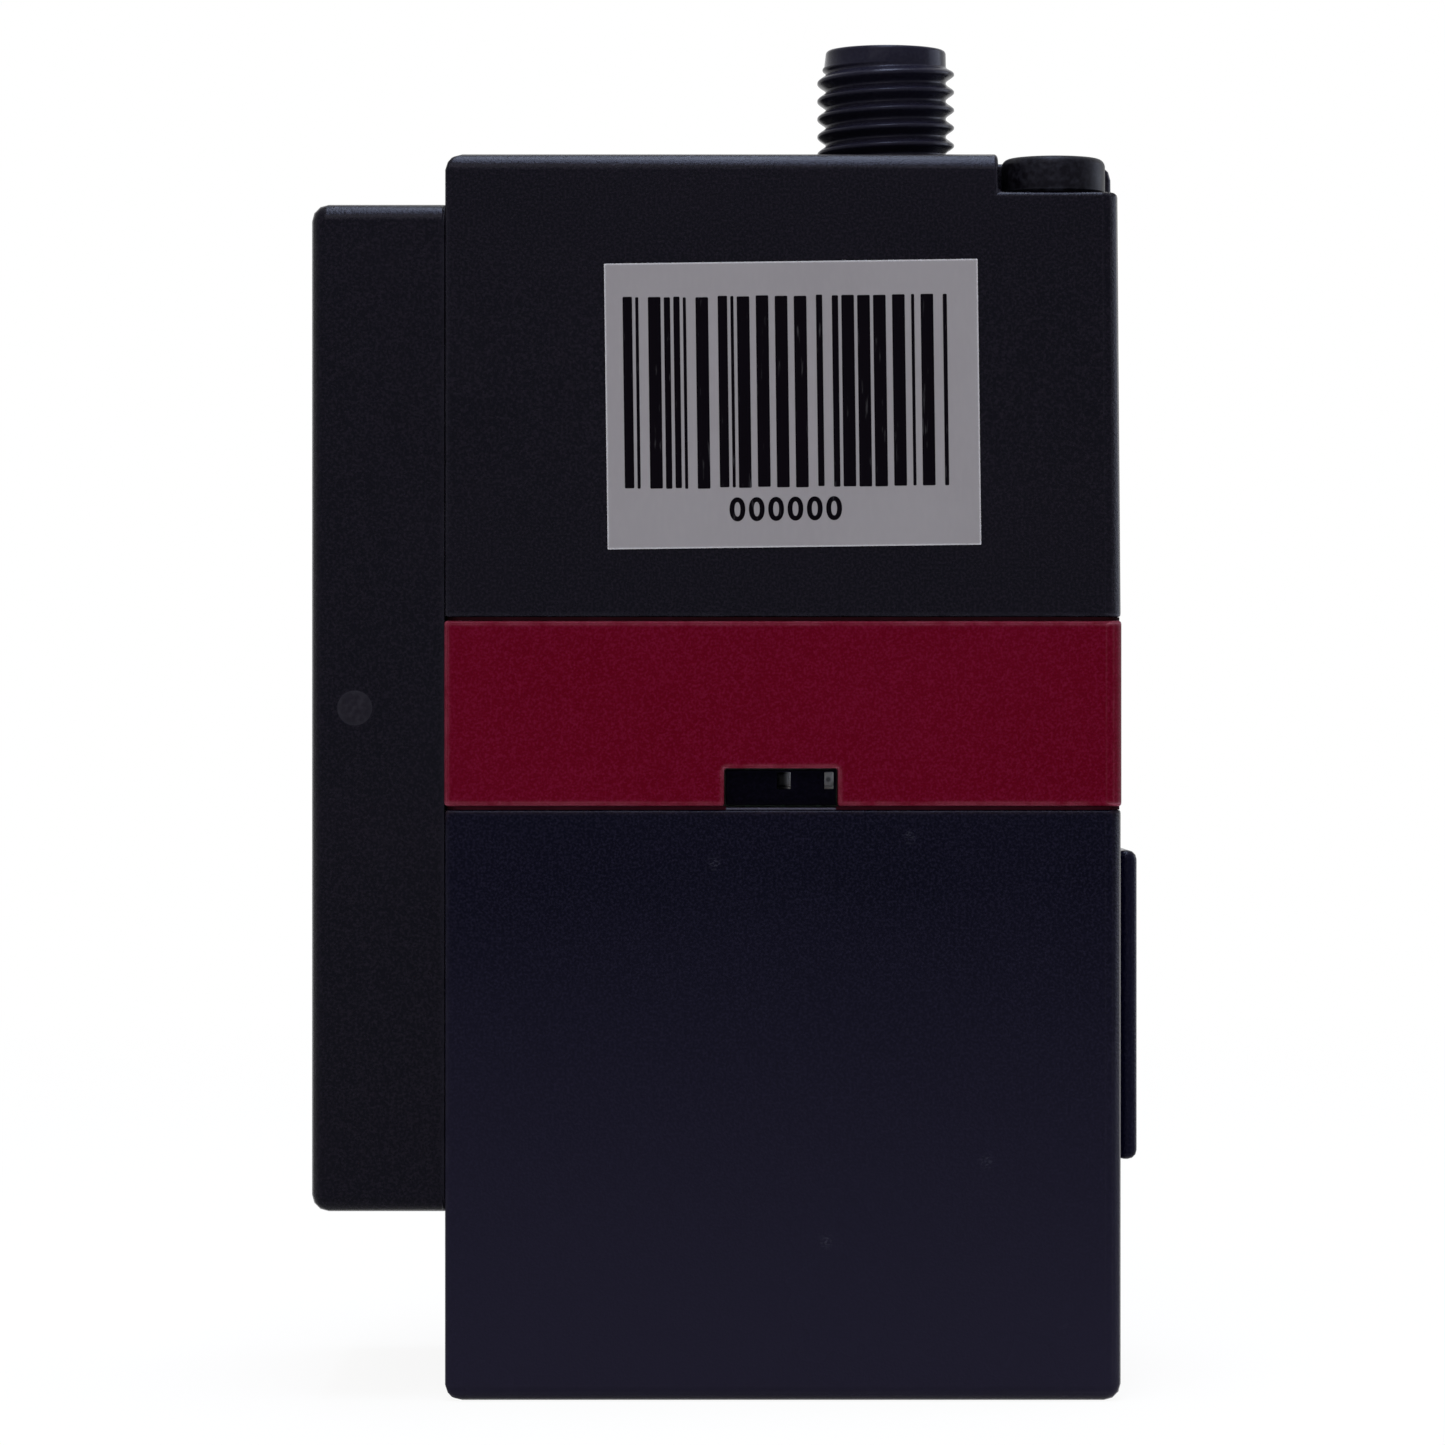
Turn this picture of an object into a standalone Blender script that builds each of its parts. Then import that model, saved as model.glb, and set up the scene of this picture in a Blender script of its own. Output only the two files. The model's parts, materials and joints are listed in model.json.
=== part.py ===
"""Compact fixed-mount barcode reader: a two-part housing with a coloured band, an optics hood
with its reading window, a threaded round connector, and the scanning mirror drive inside.

Metres, +Z up. X = 0 and Y = 0 are the middle of the main housing and Z = 0 is its base.
The reading window faces -X, the mounting pad +X, and the side with the status window -Y.
"""

import math

import bmesh
import bpy
from mathutils import Matrix, Vector

# Housing stack
BODY_WIDTH = 0.0363
BODY_DEPTH = 0.030
LOWER_HEIGHT = 0.03174
BAND_HEIGHT = 0.00995
UPPER_HEIGHT = 0.02491
WALL = 0.002
FLOOR = 0.0022
TOP_WALL = 0.0022
CORNER_POST = 0.0045
EDGE_FILLET = 0.0009
SEAM_FILLET = 0.00018
HOOD_CORNER_FILLET = 0.0002
UPPER_DRAFT = 0.00018
BAND_PROUD = 0.00004
GASKET_THICKNESS = 0.0001
GASKET_INSET = 0.0005

# Clearances
SEAT_GAP = 0.00005
FIT_GAP = 0.0001
BORE_GAP = 0.0001
RUNNING_GAP = 0.0004

# Housing screws and their corner pockets
SCREW_INSET_X = 0.0035
SCREW_INSET_Y = 0.0032
SCREW_HEAD_RADIUS = 0.0028
SCREW_HEAD_HEIGHT = 0.00195
SCREW_SHANK_RADIUS = 0.0015
SCREW_ENGAGEMENT = 0.008
POCKET_WIDTH = 0.0066
POCKET_LENGTH = 0.0064
POCKET_DEPTH = 0.00208

# Shape of a pan-head screw, as shares of its head and shank
HEAD_CROWN = 0.38
POINT_CHAMFER = 0.4
RECESS_REACH = 0.6
RECESS_HALF_WIDTH = 0.13
RECESS_DEPTH = 0.5

# Optics hood and reading window
HOOD_DEPTH = 0.00712
HOOD_BACK_FILLET = 0.0001
HOOD_HEIGHT = 0.05418
HOOD_SIDE_INSET = 0.0004
HOOD_SILL = 0.01012
PANE_HEIGHT = 0.042
PANE_WIDTH = 0.020
PANE_THICKNESS = 0.002
PANE_RECESS = 0.0006
PANE_LEDGE = 0.0018
WINDOW_GASKET = 0.0006
HOOD_SEAL_WIDTH = 0.0012
HOOD_SEAL_DEPTH = 0.001
HOOD_SEAL_MARGIN = 0.001
HOOD_SCREW_INSET_Y = 0.003
HOOD_SCREW_INSET_Z = 0.0033
SMALL_HEAD_RADIUS = 0.0019
SMALL_HEAD_HEIGHT = 0.0013
SMALL_SHANK_RADIUS = 0.001
HEAD_SINK = 0.0002
HOOD_SCREW_ENGAGEMENT = 0.005
HOOD_PIN_RADIUS = 0.00072
HOOD_PIN_LENGTH = 0.0022
HOOD_PIN_INSET = 0.00235

# Mounting pad on the back
PAD_HEIGHT = 0.0169
PAD_WIDTH = 0.018
PAD_THICKNESS = 0.0012
PAD_FILLET = 0.0005
PAD_CENTRE_Z = 0.021
INSERT_SPACING = 0.010
INSERT_RADIUS = 0.0024
INSERT_BORE = 0.00165
INSERT_LENGTH = 0.0048
INSERT_SINK = 0.0002
INSERT_BOSS_WALL = 0.001

# Label on the front of the upper housing
LABEL_WIDTH = 0.02004
LABEL_HEIGHT = 0.01533
LABEL_THICKNESS = 0.00009
LABEL_X = 0.0005
LABEL_DROP = 0.0135
LABEL_TILT = math.radians(0.75)

# Round connector
CONNECTOR_X = 0.0059
THREAD_RADIUS = 0.00384
NOSE_RADIUS = 0.00337
NOSE_HEIGHT = 0.0013
CONNECTOR_STAND = 0.00712
CONNECTOR_TAIL = 0.0068
SOCKET_RADIUS = 0.0029
SOCKET_DEPTH = 0.0048
FLANGE_RADIUS = 0.0062
FLANGE_THICKNESS = 0.0012
ORING_SECTION = 0.00055
RETAINER_HEIGHT = 0.0023
INSERT_FLANGE_HEIGHT = 0.00095
INSERT_FLANGE_RADIUS = 0.0036
CONNECTOR_BOSS_WALL = 0.0014
PIN_RADIUS = 0.0005
PIN_CIRCLE = 0.0014
PIN_COUNT = 4
PIN_BELOW_RIM = 0.001
PIN_TAIL = 0.0004
PIN_TIP = 0.00025

# Status lamps and their bezel in the band's notch
NOTCH_X = -0.00012
NOTCH_WIDTH = 0.0061
NOTCH_HEIGHT = 0.00203
BEZEL_RECESS = 0.0011
BEZEL_THICKNESS = 0.0007
BEZEL_SILL = 0.0009
BEZEL_OPENING_HEIGHT = 0.00092
BEZEL_OPENING_WIDTHS = (0.00074, 0.0005)
BEZEL_OPENING_OFFSETS = (0.00004, 0.00247)
STATUS_BOARD_WIDTH = 0.010
STATUS_BOARD_DROP = 0.0086
STATUS_BOARD_RISE = 0.0012
STATUS_BOARD_STANDOFF = 0.0006
STATUS_BOSS_RADIUS = 0.0022
STATUS_SCREW_DROP = 0.0062
STATUS_SCREW_LENGTH = 0.0026
LED_WIDTH = 0.001
LED_HEIGHT = 0.001
LED_LIFT = 0.0014
LED_OFFSETS = (0.0, 0.0023)

# Boards
BOARD_THICKNESS = 0.0012
BOARD_EDGE_GAP = 0.0005
MAIN_BOARD_DROP = 0.011
STANDOFF_RADIUS = 0.002
STANDOFF_INSET = 0.0028
BOARD_SCREW_LENGTH = 0.005
CHIP_SIZE = 0.009
CHIP_HEIGHT = 0.0011
INDUCTOR_SIZE = 0.0055
INDUCTOR_HEIGHT = 0.0032
FLEX_WIDTH = 0.005
FLEX_THICKNESS = 0.0002
FLEX_BEND = 0.002
FLEX_OVERLAP = 0.0022
FLEX_X = 0.0126

# Optics chassis
CHASSIS_CLEARANCE = 0.0005
CHASSIS_PLATE = 0.002
CHASSIS_BASE = 0.0018
CHASSIS_BOSS_HEIGHT = 0.0023
CHASSIS_BOSS_RADIUS = 0.0026
CHASSIS_TOP = 0.0505
CHASSIS_SCREW_LENGTH = 0.0046
CHASSIS_SCREW_INSET_X = 0.004
CHASSIS_SCREW_INSET_FRONT = 0.0027
CHASSIS_SCREW_INSET_REAR = 0.004
GUSSET_RUN = 0.009
GUSSET_THICKNESS = 0.0018

# Mirror drive, its axis along Y
ROTOR_X = -0.0025
ROTOR_Z = 0.042
POLYGON_SIDES = 8
POLYGON_RADIUS = 0.0075
POLYGON_THICKNESS = 0.007
SHAFT_RADIUS = 0.001
SHAFT_NOSE = 0.0006
CLAMP_RADIUS = 0.003
CLAMP_THICKNESS = 0.0007
CUP_RADIUS = 0.007
CUP_WALL = 0.001
CUP_FLOOR = 0.001
STATOR_RADIUS = 0.0056
STATOR_LENGTH = 0.0028
STATOR_SLOTS = 6
STATOR_SLOT_WIDTH = 0.0012
STATOR_SLOT_DEPTH = 0.0018
SLEEVE_RADIUS = 0.003
SLEEVE_FLANGE_RADIUS = 0.0045
SLEEVE_FLANGE = 0.0009
BEARING_RADIUS = 0.0025
BEARING_WIDTH = 0.0015
MOTOR_PLATE_HEIGHT = 0.017
MOTOR_PLATE_SIDE_GAP = 0.0007
MOTOR_PLATE_THICKNESS = 0.0012

# Laser and receiver optics
LASER_Z = 0.027
LASER_FRONT_X = -0.0014
BARREL_RADIUS = 0.0036
BARREL_LENGTH = 0.011
BEAM_BORE = 0.0016
LENS_RADIUS = 0.0024
LENS_THICKNESS = 0.0015
LENS_RECESS = 0.0006
LENS_CROWN = 0.00036
DIODE_FLANGE_RADIUS = 0.0028
DIODE_FLANGE = 0.0013
DIODE_CAN_RADIUS = 0.0015
DIODE_CAN = 0.0022
DIODE_TAIL_RADIUS = 0.0012
DIODE_TAIL = 0.0016
LASER_BLOCK_LENGTH = 0.009
LASER_BLOCK_WALL = 0.001
MIRROR_SIZE = 0.0042
MIRROR_THICKNESS = 0.0008
MIRROR_ARM = 0.0016
COLLECTOR_RADIUS = 0.0055
COLLECTOR_EDGE = 0.0014
COLLECTOR_CROWN = 0.0016
COLLECTOR_Z = 0.0186
COLLECTOR_LEDGE = 0.0008
COLLECTOR_RIM = 0.0011
COLLECTOR_ARM_WIDTH = 0.007
RECEIVER_END_GAP = 0.0102
RECEIVER_WIDTH = 0.015
RECEIVER_STANDOFF = 0.0008
RECEIVER_POST_RADIUS = 0.0012
PHOTODIODE_SIZE = (0.005, 0.004, 0.0012)
FILTER_SIZE = (0.0044, 0.0034, 0.0008)

# Facets of round pieces
ROUND_STEPS = 24
SMALL_STEPS = 12
FILLET_STEPS = 3
DOME_STEPS = 3

# Levels and places that follow from the sizes above
SEAM = GASKET_THICKNESS + 2 * SEAT_GAP
BAND_Z = LOWER_HEIGHT + SEAM
UPPER_Z = BAND_Z + BAND_HEIGHT + SEAM
TOP_Z = UPPER_Z + UPPER_HEIGHT
CEILING_Z = TOP_Z - TOP_WALL
HALF_X = BODY_WIDTH / 2
HALF_Y = BODY_DEPTH / 2
INNER_X = HALF_X - WALL
INNER_Y = HALF_Y - WALL
POST_X = INNER_X - CORNER_POST
POST_Y = INNER_Y - CORNER_POST
HOOD_BACK = -(HALF_X + BAND_PROUD + SEAT_GAP)
HOOD_FACE = HOOD_BACK - HOOD_DEPTH
HOOD_MID_Z = HOOD_SILL + HOOD_HEIGHT / 2
HOOD_WIDTH = BODY_DEPTH - 2 * HOOD_SIDE_INSET
APERTURE_Y = PANE_WIDTH / 2 - PANE_LEDGE
APERTURE_Z = PANE_HEIGHT / 2 - PANE_LEDGE
SCREW_X = HALF_X - SCREW_INSET_X
SCREW_Y = HALF_Y - SCREW_INSET_Y
POCKET_Z = TOP_Z - POCKET_DEPTH
RIM_Z = TOP_Z + CONNECTOR_STAND
MAIN_BOARD_Z = CEILING_Z - MAIN_BOARD_DROP - BOARD_THICKNESS
CHASSIS_BACK = INNER_Y - CHASSIS_CLEARANCE
CHASSIS_FRONT = CHASSIS_BACK - CHASSIS_PLATE
CHASSIS_X = POST_X - CHASSIS_CLEARANCE
CHASSIS_SCREW_X = CHASSIS_X - CHASSIS_SCREW_INSET_X
CHASSIS_SCREW_FRONT_Y = -(INNER_Y - CHASSIS_SCREW_INSET_FRONT)
CHASSIS_SCREW_REAR_Y = CHASSIS_FRONT - CHASSIS_SCREW_INSET_REAR
CHASSIS_Z = FLOOR + CHASSIS_BOSS_HEIGHT + FIT_GAP
CHASSIS_DECK = CHASSIS_Z + CHASSIS_BASE
MOTOR_PLATE_WIDTH = 2 * (POST_X + ROTOR_X - MOTOR_PLATE_SIDE_GAP)
MOTOR_PLATE_Y = CHASSIS_FRONT - FIT_GAP - MOTOR_PLATE_THICKNESS
SLEEVE_SHOULDER_Y = MOTOR_PLATE_Y - FIT_GAP
STATOR_Y = SLEEVE_SHOULDER_Y - SLEEVE_FLANGE - FIT_GAP - STATOR_LENGTH
SLEEVE_FRONT_Y = STATOR_Y - BEARING_WIDTH
CUP_Y = SLEEVE_FRONT_Y - RUNNING_GAP - CUP_FLOOR
POLYGON_Y = CUP_Y - FIT_GAP - POLYGON_THICKNESS
CLAMP_Y = POLYGON_Y - FIT_GAP - CLAMP_THICKNESS
BEAM_Y = POLYGON_Y + POLYGON_THICKNESS / 2
APOTHEM = POLYGON_RADIUS * math.cos(math.pi / POLYGON_SIDES)
BEAM_X = ROTOR_X - APOTHEM * math.sqrt(0.5)
RECEIVER_Z = CHASSIS_DECK + RECEIVER_STANDOFF + FIT_GAP
RECEIVER_TOP = RECEIVER_Z + BOARD_THICKNESS
CUT = 0.001

FINISHES = {
    "housing_plastic": ((0.010, 0.009, 0.014), 0.55, 0.0),
    "band_plastic": ((0.105, 0.002, 0.010), 0.5, 0.0),
    "window_glass": ((0.05, 0.004, 0.006), 0.05, 0.0),
    "clear_plastic": ((0.35, 0.35, 0.36), 0.1, 0.0),
    "rubber": ((0.008, 0.008, 0.009), 0.8, 0.0),
    "black_screw": ((0.012, 0.012, 0.016), 0.35, 0.6),
    "steel": ((0.45, 0.45, 0.46), 0.35, 1.0),
    "brass": ((0.62, 0.42, 0.16), 0.35, 1.0),
    "gold": ((0.75, 0.55, 0.22), 0.25, 1.0),
    "cast_metal": ((0.32, 0.32, 0.33), 0.5, 1.0),
    "mirror": ((0.85, 0.85, 0.87), 0.03, 1.0),
    "circuit_board": ((0.01, 0.07, 0.03), 0.5, 0.0),
    "component": ((0.015, 0.015, 0.016), 0.45, 0.0),
    "led": ((0.5, 0.5, 0.48), 0.3, 0.0),
    "label_paper": ((0.33, 0.30, 0.33), 0.5, 0.0),
    "flex": ((0.25, 0.12, 0.03), 0.4, 0.0),
}

AXIS_TURN = {
    "+X": (0.0, math.pi / 2, 0.0),
    "-X": (0.0, -math.pi / 2, 0.0),
    "+Y": (-math.pi / 2, 0.0, 0.0),
    "-Y": (math.pi / 2, 0.0, 0.0),
    "+Z": (0.0, 0.0, 0.0),
    "-Z": (math.pi, 0.0, 0.0),
}


def clear_scene():
    for item in list(bpy.data.objects):
        bpy.data.objects.remove(item, do_unlink=True)


def make_collection(name):
    collection = bpy.data.collections.new(name)
    bpy.context.scene.collection.children.link(collection)
    return collection


def make_materials():
    materials = {}
    for name, (colour, roughness, metallic) in FINISHES.items():
        material = bpy.data.materials.new(name)
        material.use_nodes = True
        shader = material.node_tree.nodes["Principled BSDF"]
        shader.inputs["Base Color"].default_value = (*colour, 1.0)
        shader.inputs["Roughness"].default_value = roughness
        shader.inputs["Metallic"].default_value = metallic
        materials[name] = material
    return materials


clear_scene()
PARTS = make_collection("barcode_reader")
CUTTERS = make_collection("cutters")
MATERIALS = make_materials()


def add_object(name, mesh, finish, location=(0.0, 0.0, 0.0), turn="+Z"):
    """Link a mesh as a part, or as a hidden cutting tool where it has no finish."""
    item = bpy.data.objects.new(name, mesh)
    item.location = location
    item.rotation_euler = AXIS_TURN[turn]
    if finish is None:
        CUTTERS.objects.link(item)
        item.hide_render = True
        item.display_type = "WIRE"
    else:
        PARTS.objects.link(item)
        mesh.materials.append(MATERIALS[finish])
    return item


def box(name, low, high, finish=None):
    """A box between two corners, its origin in the middle."""
    low = Vector(low)
    high = Vector(high)
    mesh = bpy.data.meshes.new(name)
    work = bmesh.new()
    bmesh.ops.create_cube(work, size=1.0, matrix=Matrix.Diagonal((*(high - low), 1.0)))
    work.to_mesh(mesh)
    work.free()
    return add_object(name, mesh, finish, (low + high) / 2)


def cylinder(name, base, turn, radius, length, finish=None, steps=ROUND_STEPS):
    """A round bar from its base point along an axis."""
    mesh = bpy.data.meshes.new(name)
    work = bmesh.new()
    bmesh.ops.create_cone(
        work, cap_ends=True, segments=steps, radius1=radius, radius2=radius, depth=length,
        matrix=Matrix.Translation((0.0, 0.0, length / 2)),
    )
    work.to_mesh(mesh)
    work.free()
    mesh.shade_smooth()
    mesh.set_sharp_from_angle(angle=math.radians(40))
    return add_object(name, mesh, finish, base, turn)


def turned(name, profile, base, turn, finish, closed=False, steps=ROUND_STEPS):
    """A shape turned about its own Z axis from (radius, height) points, outer side downwards."""
    mesh = bpy.data.meshes.new(name)
    points = [(radius, 0.0, height) for radius, height in profile]
    edges = [(index, index + 1) for index in range(len(points) - 1)]
    if closed:
        edges.append((len(points) - 1, 0))
    mesh.from_pydata(points, edges, [])
    item = add_object(name, mesh, finish, base, turn)
    screw = item.modifiers.new("turn", "SCREW")
    screw.axis = "Z"
    screw.steps = steps
    screw.render_steps = steps
    screw.use_merge_vertices = True
    screw.merge_threshold = 0.000001
    screw.use_smooth_shade = True
    return item


def ring(name, base, turn, outer, inner, height, finish=None, steps=ROUND_STEPS):
    """A plain ring from its base plane along an axis."""
    profile = [(inner, height), (outer, height), (outer, 0.0), (inner, 0.0)]
    return turned(name, profile, base, turn, finish, closed=True, steps=steps)


def boolean(item, tool, operation):
    modifier = item.modifiers.new(tool.name, "BOOLEAN")
    modifier.operation = operation
    modifier.solver = "EXACT"
    modifier.object = tool


def cut(item, *tools):
    for tool in tools:
        boolean(item, tool, "DIFFERENCE")


def join(item, *tools):
    for tool in tools:
        boolean(item, tool, "UNION")


def edge_sides(edge):
    """Name the two sides of a box that meet at an edge, such as -X and +Z."""
    sides = set()
    for axis, letter in enumerate("XYZ"):
        first, second = (vertex.co[axis] for vertex in edge.verts)
        if first * second > 0.0:
            sides.add(("+" if first > 0.0 else "-") + letter)
    return sides


def round_edges(item, width, fine=(), steps=FILLET_STEPS):
    """Round a box's edges. Those where the listed sides meet take the width listed with them."""
    work = bmesh.new()
    work.from_mesh(item.data)
    weights = work.edges.layers.float.new("bevel_weight_edge")
    for edge in work.edges:
        edge[weights] = 1.0
        for sides, fine_width in fine:
            if sides <= edge_sides(edge):
                edge[weights] = fine_width / width
    work.to_mesh(item.data)
    work.free()
    bevel = item.modifiers.new("fillet", "BEVEL")
    bevel.limit_method = "WEIGHT"
    bevel.width = width
    bevel.segments = steps
    item.modifiers.new("flat_facets", "TRIANGULATE")


def draft_top(item, inset):
    """Lean the sides in towards the top, all but the one that the hood stands against."""
    for vertex in item.data.vertices:
        if vertex.co.z > 0.0:
            vertex.co.x -= max(math.copysign(inset, vertex.co.x), 0.0)
            vertex.co.y -= math.copysign(inset, vertex.co.y)


def housing_cavity(item, low_z, high_z, label):
    """Hollow a stack piece, leaving its walls and four corner posts."""
    long_way = box(label + "_cavity_x", (-INNER_X, -POST_Y, low_z), (INNER_X, POST_Y, high_z))
    cross_way = box(label + "_cavity_y", (-POST_X, -INNER_Y, low_z), (POST_X, INNER_Y, high_z))
    cut(item, long_way, cross_way)


def optics_opening(item, low_z, high_z, label):
    """Open the wall behind the optics hood."""
    low = (-HALF_X - CUT, -APERTURE_Y, low_z)
    high = (-INNER_X + CUT, APERTURE_Y, high_z)
    cut(item, box(label + "_opening", low, high))


def screw_holes(item, low_z, high_z, radius, label):
    """Vertical holes for the two housing screws."""
    for side, place in ((-1, "front"), (1, "rear")):
        base = (SCREW_X, side * SCREW_Y, low_z)
        name = f"{label}_screw_hole_{place}"
        cut(item, cylinder(name, base, "+Z", radius, high_z - low_z, steps=SMALL_STEPS))


def hood_screw_places():
    """Centres of the four hood screws as (y, z)."""
    reach_y = HOOD_WIDTH / 2 - HOOD_SCREW_INSET_Y
    reach_z = HOOD_HEIGHT / 2 - HOOD_SCREW_INSET_Z
    return [
        (-reach_y, HOOD_MID_Z - reach_z), (reach_y, HOOD_MID_Z - reach_z),
        (-reach_y, HOOD_MID_Z + reach_z), (reach_y, HOOD_MID_Z + reach_z),
    ]


def hood_screw_holes(item, places, label):
    """Blind holes for the hood screws in the corner posts of a housing."""
    depth = HOOD_SCREW_ENGAGEMENT + CUT
    for index, (place_y, place_z) in enumerate(places):
        base = (-HALF_X - CUT, place_y, place_z)
        radius = SMALL_SHANK_RADIUS + BORE_GAP
        name = f"{label}_hood_screw_hole_{index + 1}"
        cut(item, cylinder(name, base, "+X", radius, depth + CUT, steps=SMALL_STEPS))


def pan_screw(name, seat, turn, sizes, length, finish, recess=True):
    """A pan-head screw. Its head stands on the seat, and its shank runs back from it."""
    head_radius, head_height, shank_radius = sizes
    crown = head_height * HEAD_CROWN
    profile = [(0.0, head_height)]
    for step in range(DOME_STEPS + 1):
        angle = math.pi / 2 * (1.0 - step / DOME_STEPS)
        out = head_radius - crown * (1.0 - math.cos(angle))
        profile.append((out, head_height - crown * (1.0 - math.sin(angle))))
    profile += [(head_radius, 0.0), (shank_radius, 0.0)]
    point = shank_radius * POINT_CHAMFER
    profile += [(shank_radius, point - length), (shank_radius - point, -length), (0.0, -length)]
    item = turned(name, profile, seat, turn, finish, steps=SMALL_STEPS)
    if recess:
        cross_recess(item, head_radius, head_height)
    return item


def cross_recess(item, head_radius, head_height):
    """Cut a cross-shaped drive into a screw head."""
    half_long = head_radius * RECESS_REACH
    half_wide = head_radius * RECESS_HALF_WIDTH
    depth = head_height * RECESS_DEPTH
    for label, half_x, half_y in (("a", half_long, half_wide), ("b", half_wide, half_long)):
        tool = box(
            f"{item.name}_recess_{label}",
            (-half_x, -half_y, head_height - depth), (half_x, half_y, head_height + CUT),
        )
        tool.matrix_world = item.matrix_basis @ tool.matrix_basis
        cut(item, tool)


def to_mesh_object(curve_object, name, finish):
    """Swap a curve object for a welded mesh object."""
    bpy.context.view_layer.update()
    graph = bpy.context.evaluated_depsgraph_get()
    mesh = bpy.data.meshes.new_from_object(curve_object.evaluated_get(graph))
    work = bmesh.new()
    work.from_mesh(mesh)
    bmesh.ops.remove_doubles(work, verts=work.verts, dist=0.000001)
    work.to_mesh(mesh)
    work.free()
    mesh.materials.clear()
    place = curve_object.matrix_world.copy()
    bpy.data.objects.remove(curve_object, do_unlink=True)
    item = add_object(name, mesh, finish)
    item.matrix_world = place
    return item


def plate(name, outline, thickness, base, turn, finish=None):
    """A flat outline of (x, y) points, thickened evenly about its base plane."""
    curve = bpy.data.curves.new(name, "CURVE")
    curve.dimensions = "2D"
    curve.fill_mode = "BOTH"
    curve.extrude = thickness / 2
    spline = curve.splines.new("POLY")
    spline.points.add(len(outline) - 1)
    for point, (x, y) in zip(spline.points, outline):
        point.co = (x, y, 0.0, 1.0)
    spline.use_cyclic_u = True
    item = bpy.data.objects.new(name + "_outline", curve)
    PARTS.objects.link(item)
    item.location = base
    item.rotation_euler = AXIS_TURN[turn]
    return to_mesh_object(item, name, finish)


# Housing

# Edges with a smaller fillet: the upright corners beside the hood, and the seams
HOOD_CORNERS = [({"-X", "-Y"}, HOOD_CORNER_FILLET), ({"-X", "+Y"}, HOOD_CORNER_FILLET)]
LOWER_SEAM = ({"-Z"}, SEAM_FILLET)
UPPER_SEAM = ({"+Z"}, SEAM_FILLET)


def build_lower_housing():
    low = (-HALF_X, -HALF_Y, 0.0)
    high = (HALF_X, HALF_Y, LOWER_HEIGHT)
    item = box("lower_housing", low, high, "housing_plastic")
    round_edges(item, EDGE_FILLET, HOOD_CORNERS + [UPPER_SEAM])
    housing_cavity(item, FLOOR, LOWER_HEIGHT + CUT, "lower")
    optics_opening(item, HOOD_MID_Z - APERTURE_Z, LOWER_HEIGHT + CUT, "lower")
    low_z = LOWER_HEIGHT - SCREW_ENGAGEMENT - CUT
    screw_holes(item, low_z, LOWER_HEIGHT + CUT, SCREW_SHANK_RADIUS + BORE_GAP, "lower")
    hood_screw_holes(item, hood_screw_places()[:2], "lower")
    add_insert_bosses(item)
    add_chassis_bosses(item)
    add_status_boss(item)


def insert_places():
    return [(-INSERT_SPACING / 2, PAD_CENTRE_Z), (INSERT_SPACING / 2, PAD_CENTRE_Z)]


def insert_depth_x():
    """Inner end of the threaded inserts."""
    return HALF_X + SEAT_GAP + PAD_THICKNESS - INSERT_SINK - INSERT_LENGTH


def add_insert_bosses(item):
    """Thicken the back wall round the threaded inserts, and bore it."""
    end_x = insert_depth_x() - FIT_GAP - INSERT_BOSS_WALL
    for index, (place_y, place_z) in enumerate(insert_places()):
        reach = INNER_X + WALL / 2 - end_x
        radius = INSERT_RADIUS + INSERT_BOSS_WALL
        boss = cylinder(f"insert_boss_{index + 1}", (end_x, place_y, place_z), "+X", radius, reach)
        join(item, boss)
        base = (insert_depth_x() - FIT_GAP, place_y, place_z)
        radius = INSERT_RADIUS + BORE_GAP
        cut(item, cylinder(f"insert_bore_{index + 1}", base, "+X", radius, 2 * CORNER_POST))


def chassis_screw_places():
    return [
        (CHASSIS_SCREW_X, CHASSIS_SCREW_FRONT_Y), (-CHASSIS_SCREW_X, CHASSIS_SCREW_FRONT_Y),
        (CHASSIS_SCREW_X, CHASSIS_SCREW_REAR_Y),
    ]


def add_chassis_bosses(item):
    """Raise three bosses from the floor for the chassis screws."""
    for index, (place_x, place_y) in enumerate(chassis_screw_places()):
        base = (place_x, place_y, FLOOR / 2)
        height = FLOOR / 2 + CHASSIS_BOSS_HEIGHT
        boss = cylinder(f"chassis_boss_{index + 1}", base, "+Z", CHASSIS_BOSS_RADIUS, height,
                        steps=SMALL_STEPS)
        join(item, boss)
        low_z = CHASSIS_DECK - CHASSIS_SCREW_LENGTH - FIT_GAP
        radius = SMALL_SHANK_RADIUS + BORE_GAP
        hole = cylinder(f"chassis_boss_hole_{index + 1}", (place_x, place_y, low_z), "+Z", radius,
                        CHASSIS_SCREW_LENGTH + CUT, steps=SMALL_STEPS)
        cut(item, hole)


def status_screw_z():
    return BAND_Z - STATUS_SCREW_DROP


def status_board_y():
    """Front face of the status board."""
    return -INNER_Y + STATUS_BOARD_STANDOFF + SEAT_GAP


def add_status_boss(item):
    """Give the front wall a boss that carries the status board."""
    base = (0.0, -INNER_Y - WALL / 2, status_screw_z())
    length = WALL / 2 + STATUS_BOARD_STANDOFF
    join(item, cylinder("status_boss", base, "+Y", STATUS_BOSS_RADIUS, length, steps=SMALL_STEPS))
    hole_y = status_board_y() + BOARD_THICKNESS - STATUS_SCREW_LENGTH - FIT_GAP
    radius = SMALL_SHANK_RADIUS + BORE_GAP
    hole = cylinder("status_boss_hole", (0.0, hole_y, status_screw_z()), "+Y", radius,
                    STATUS_SCREW_LENGTH, steps=SMALL_STEPS)
    cut(item, hole)


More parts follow.
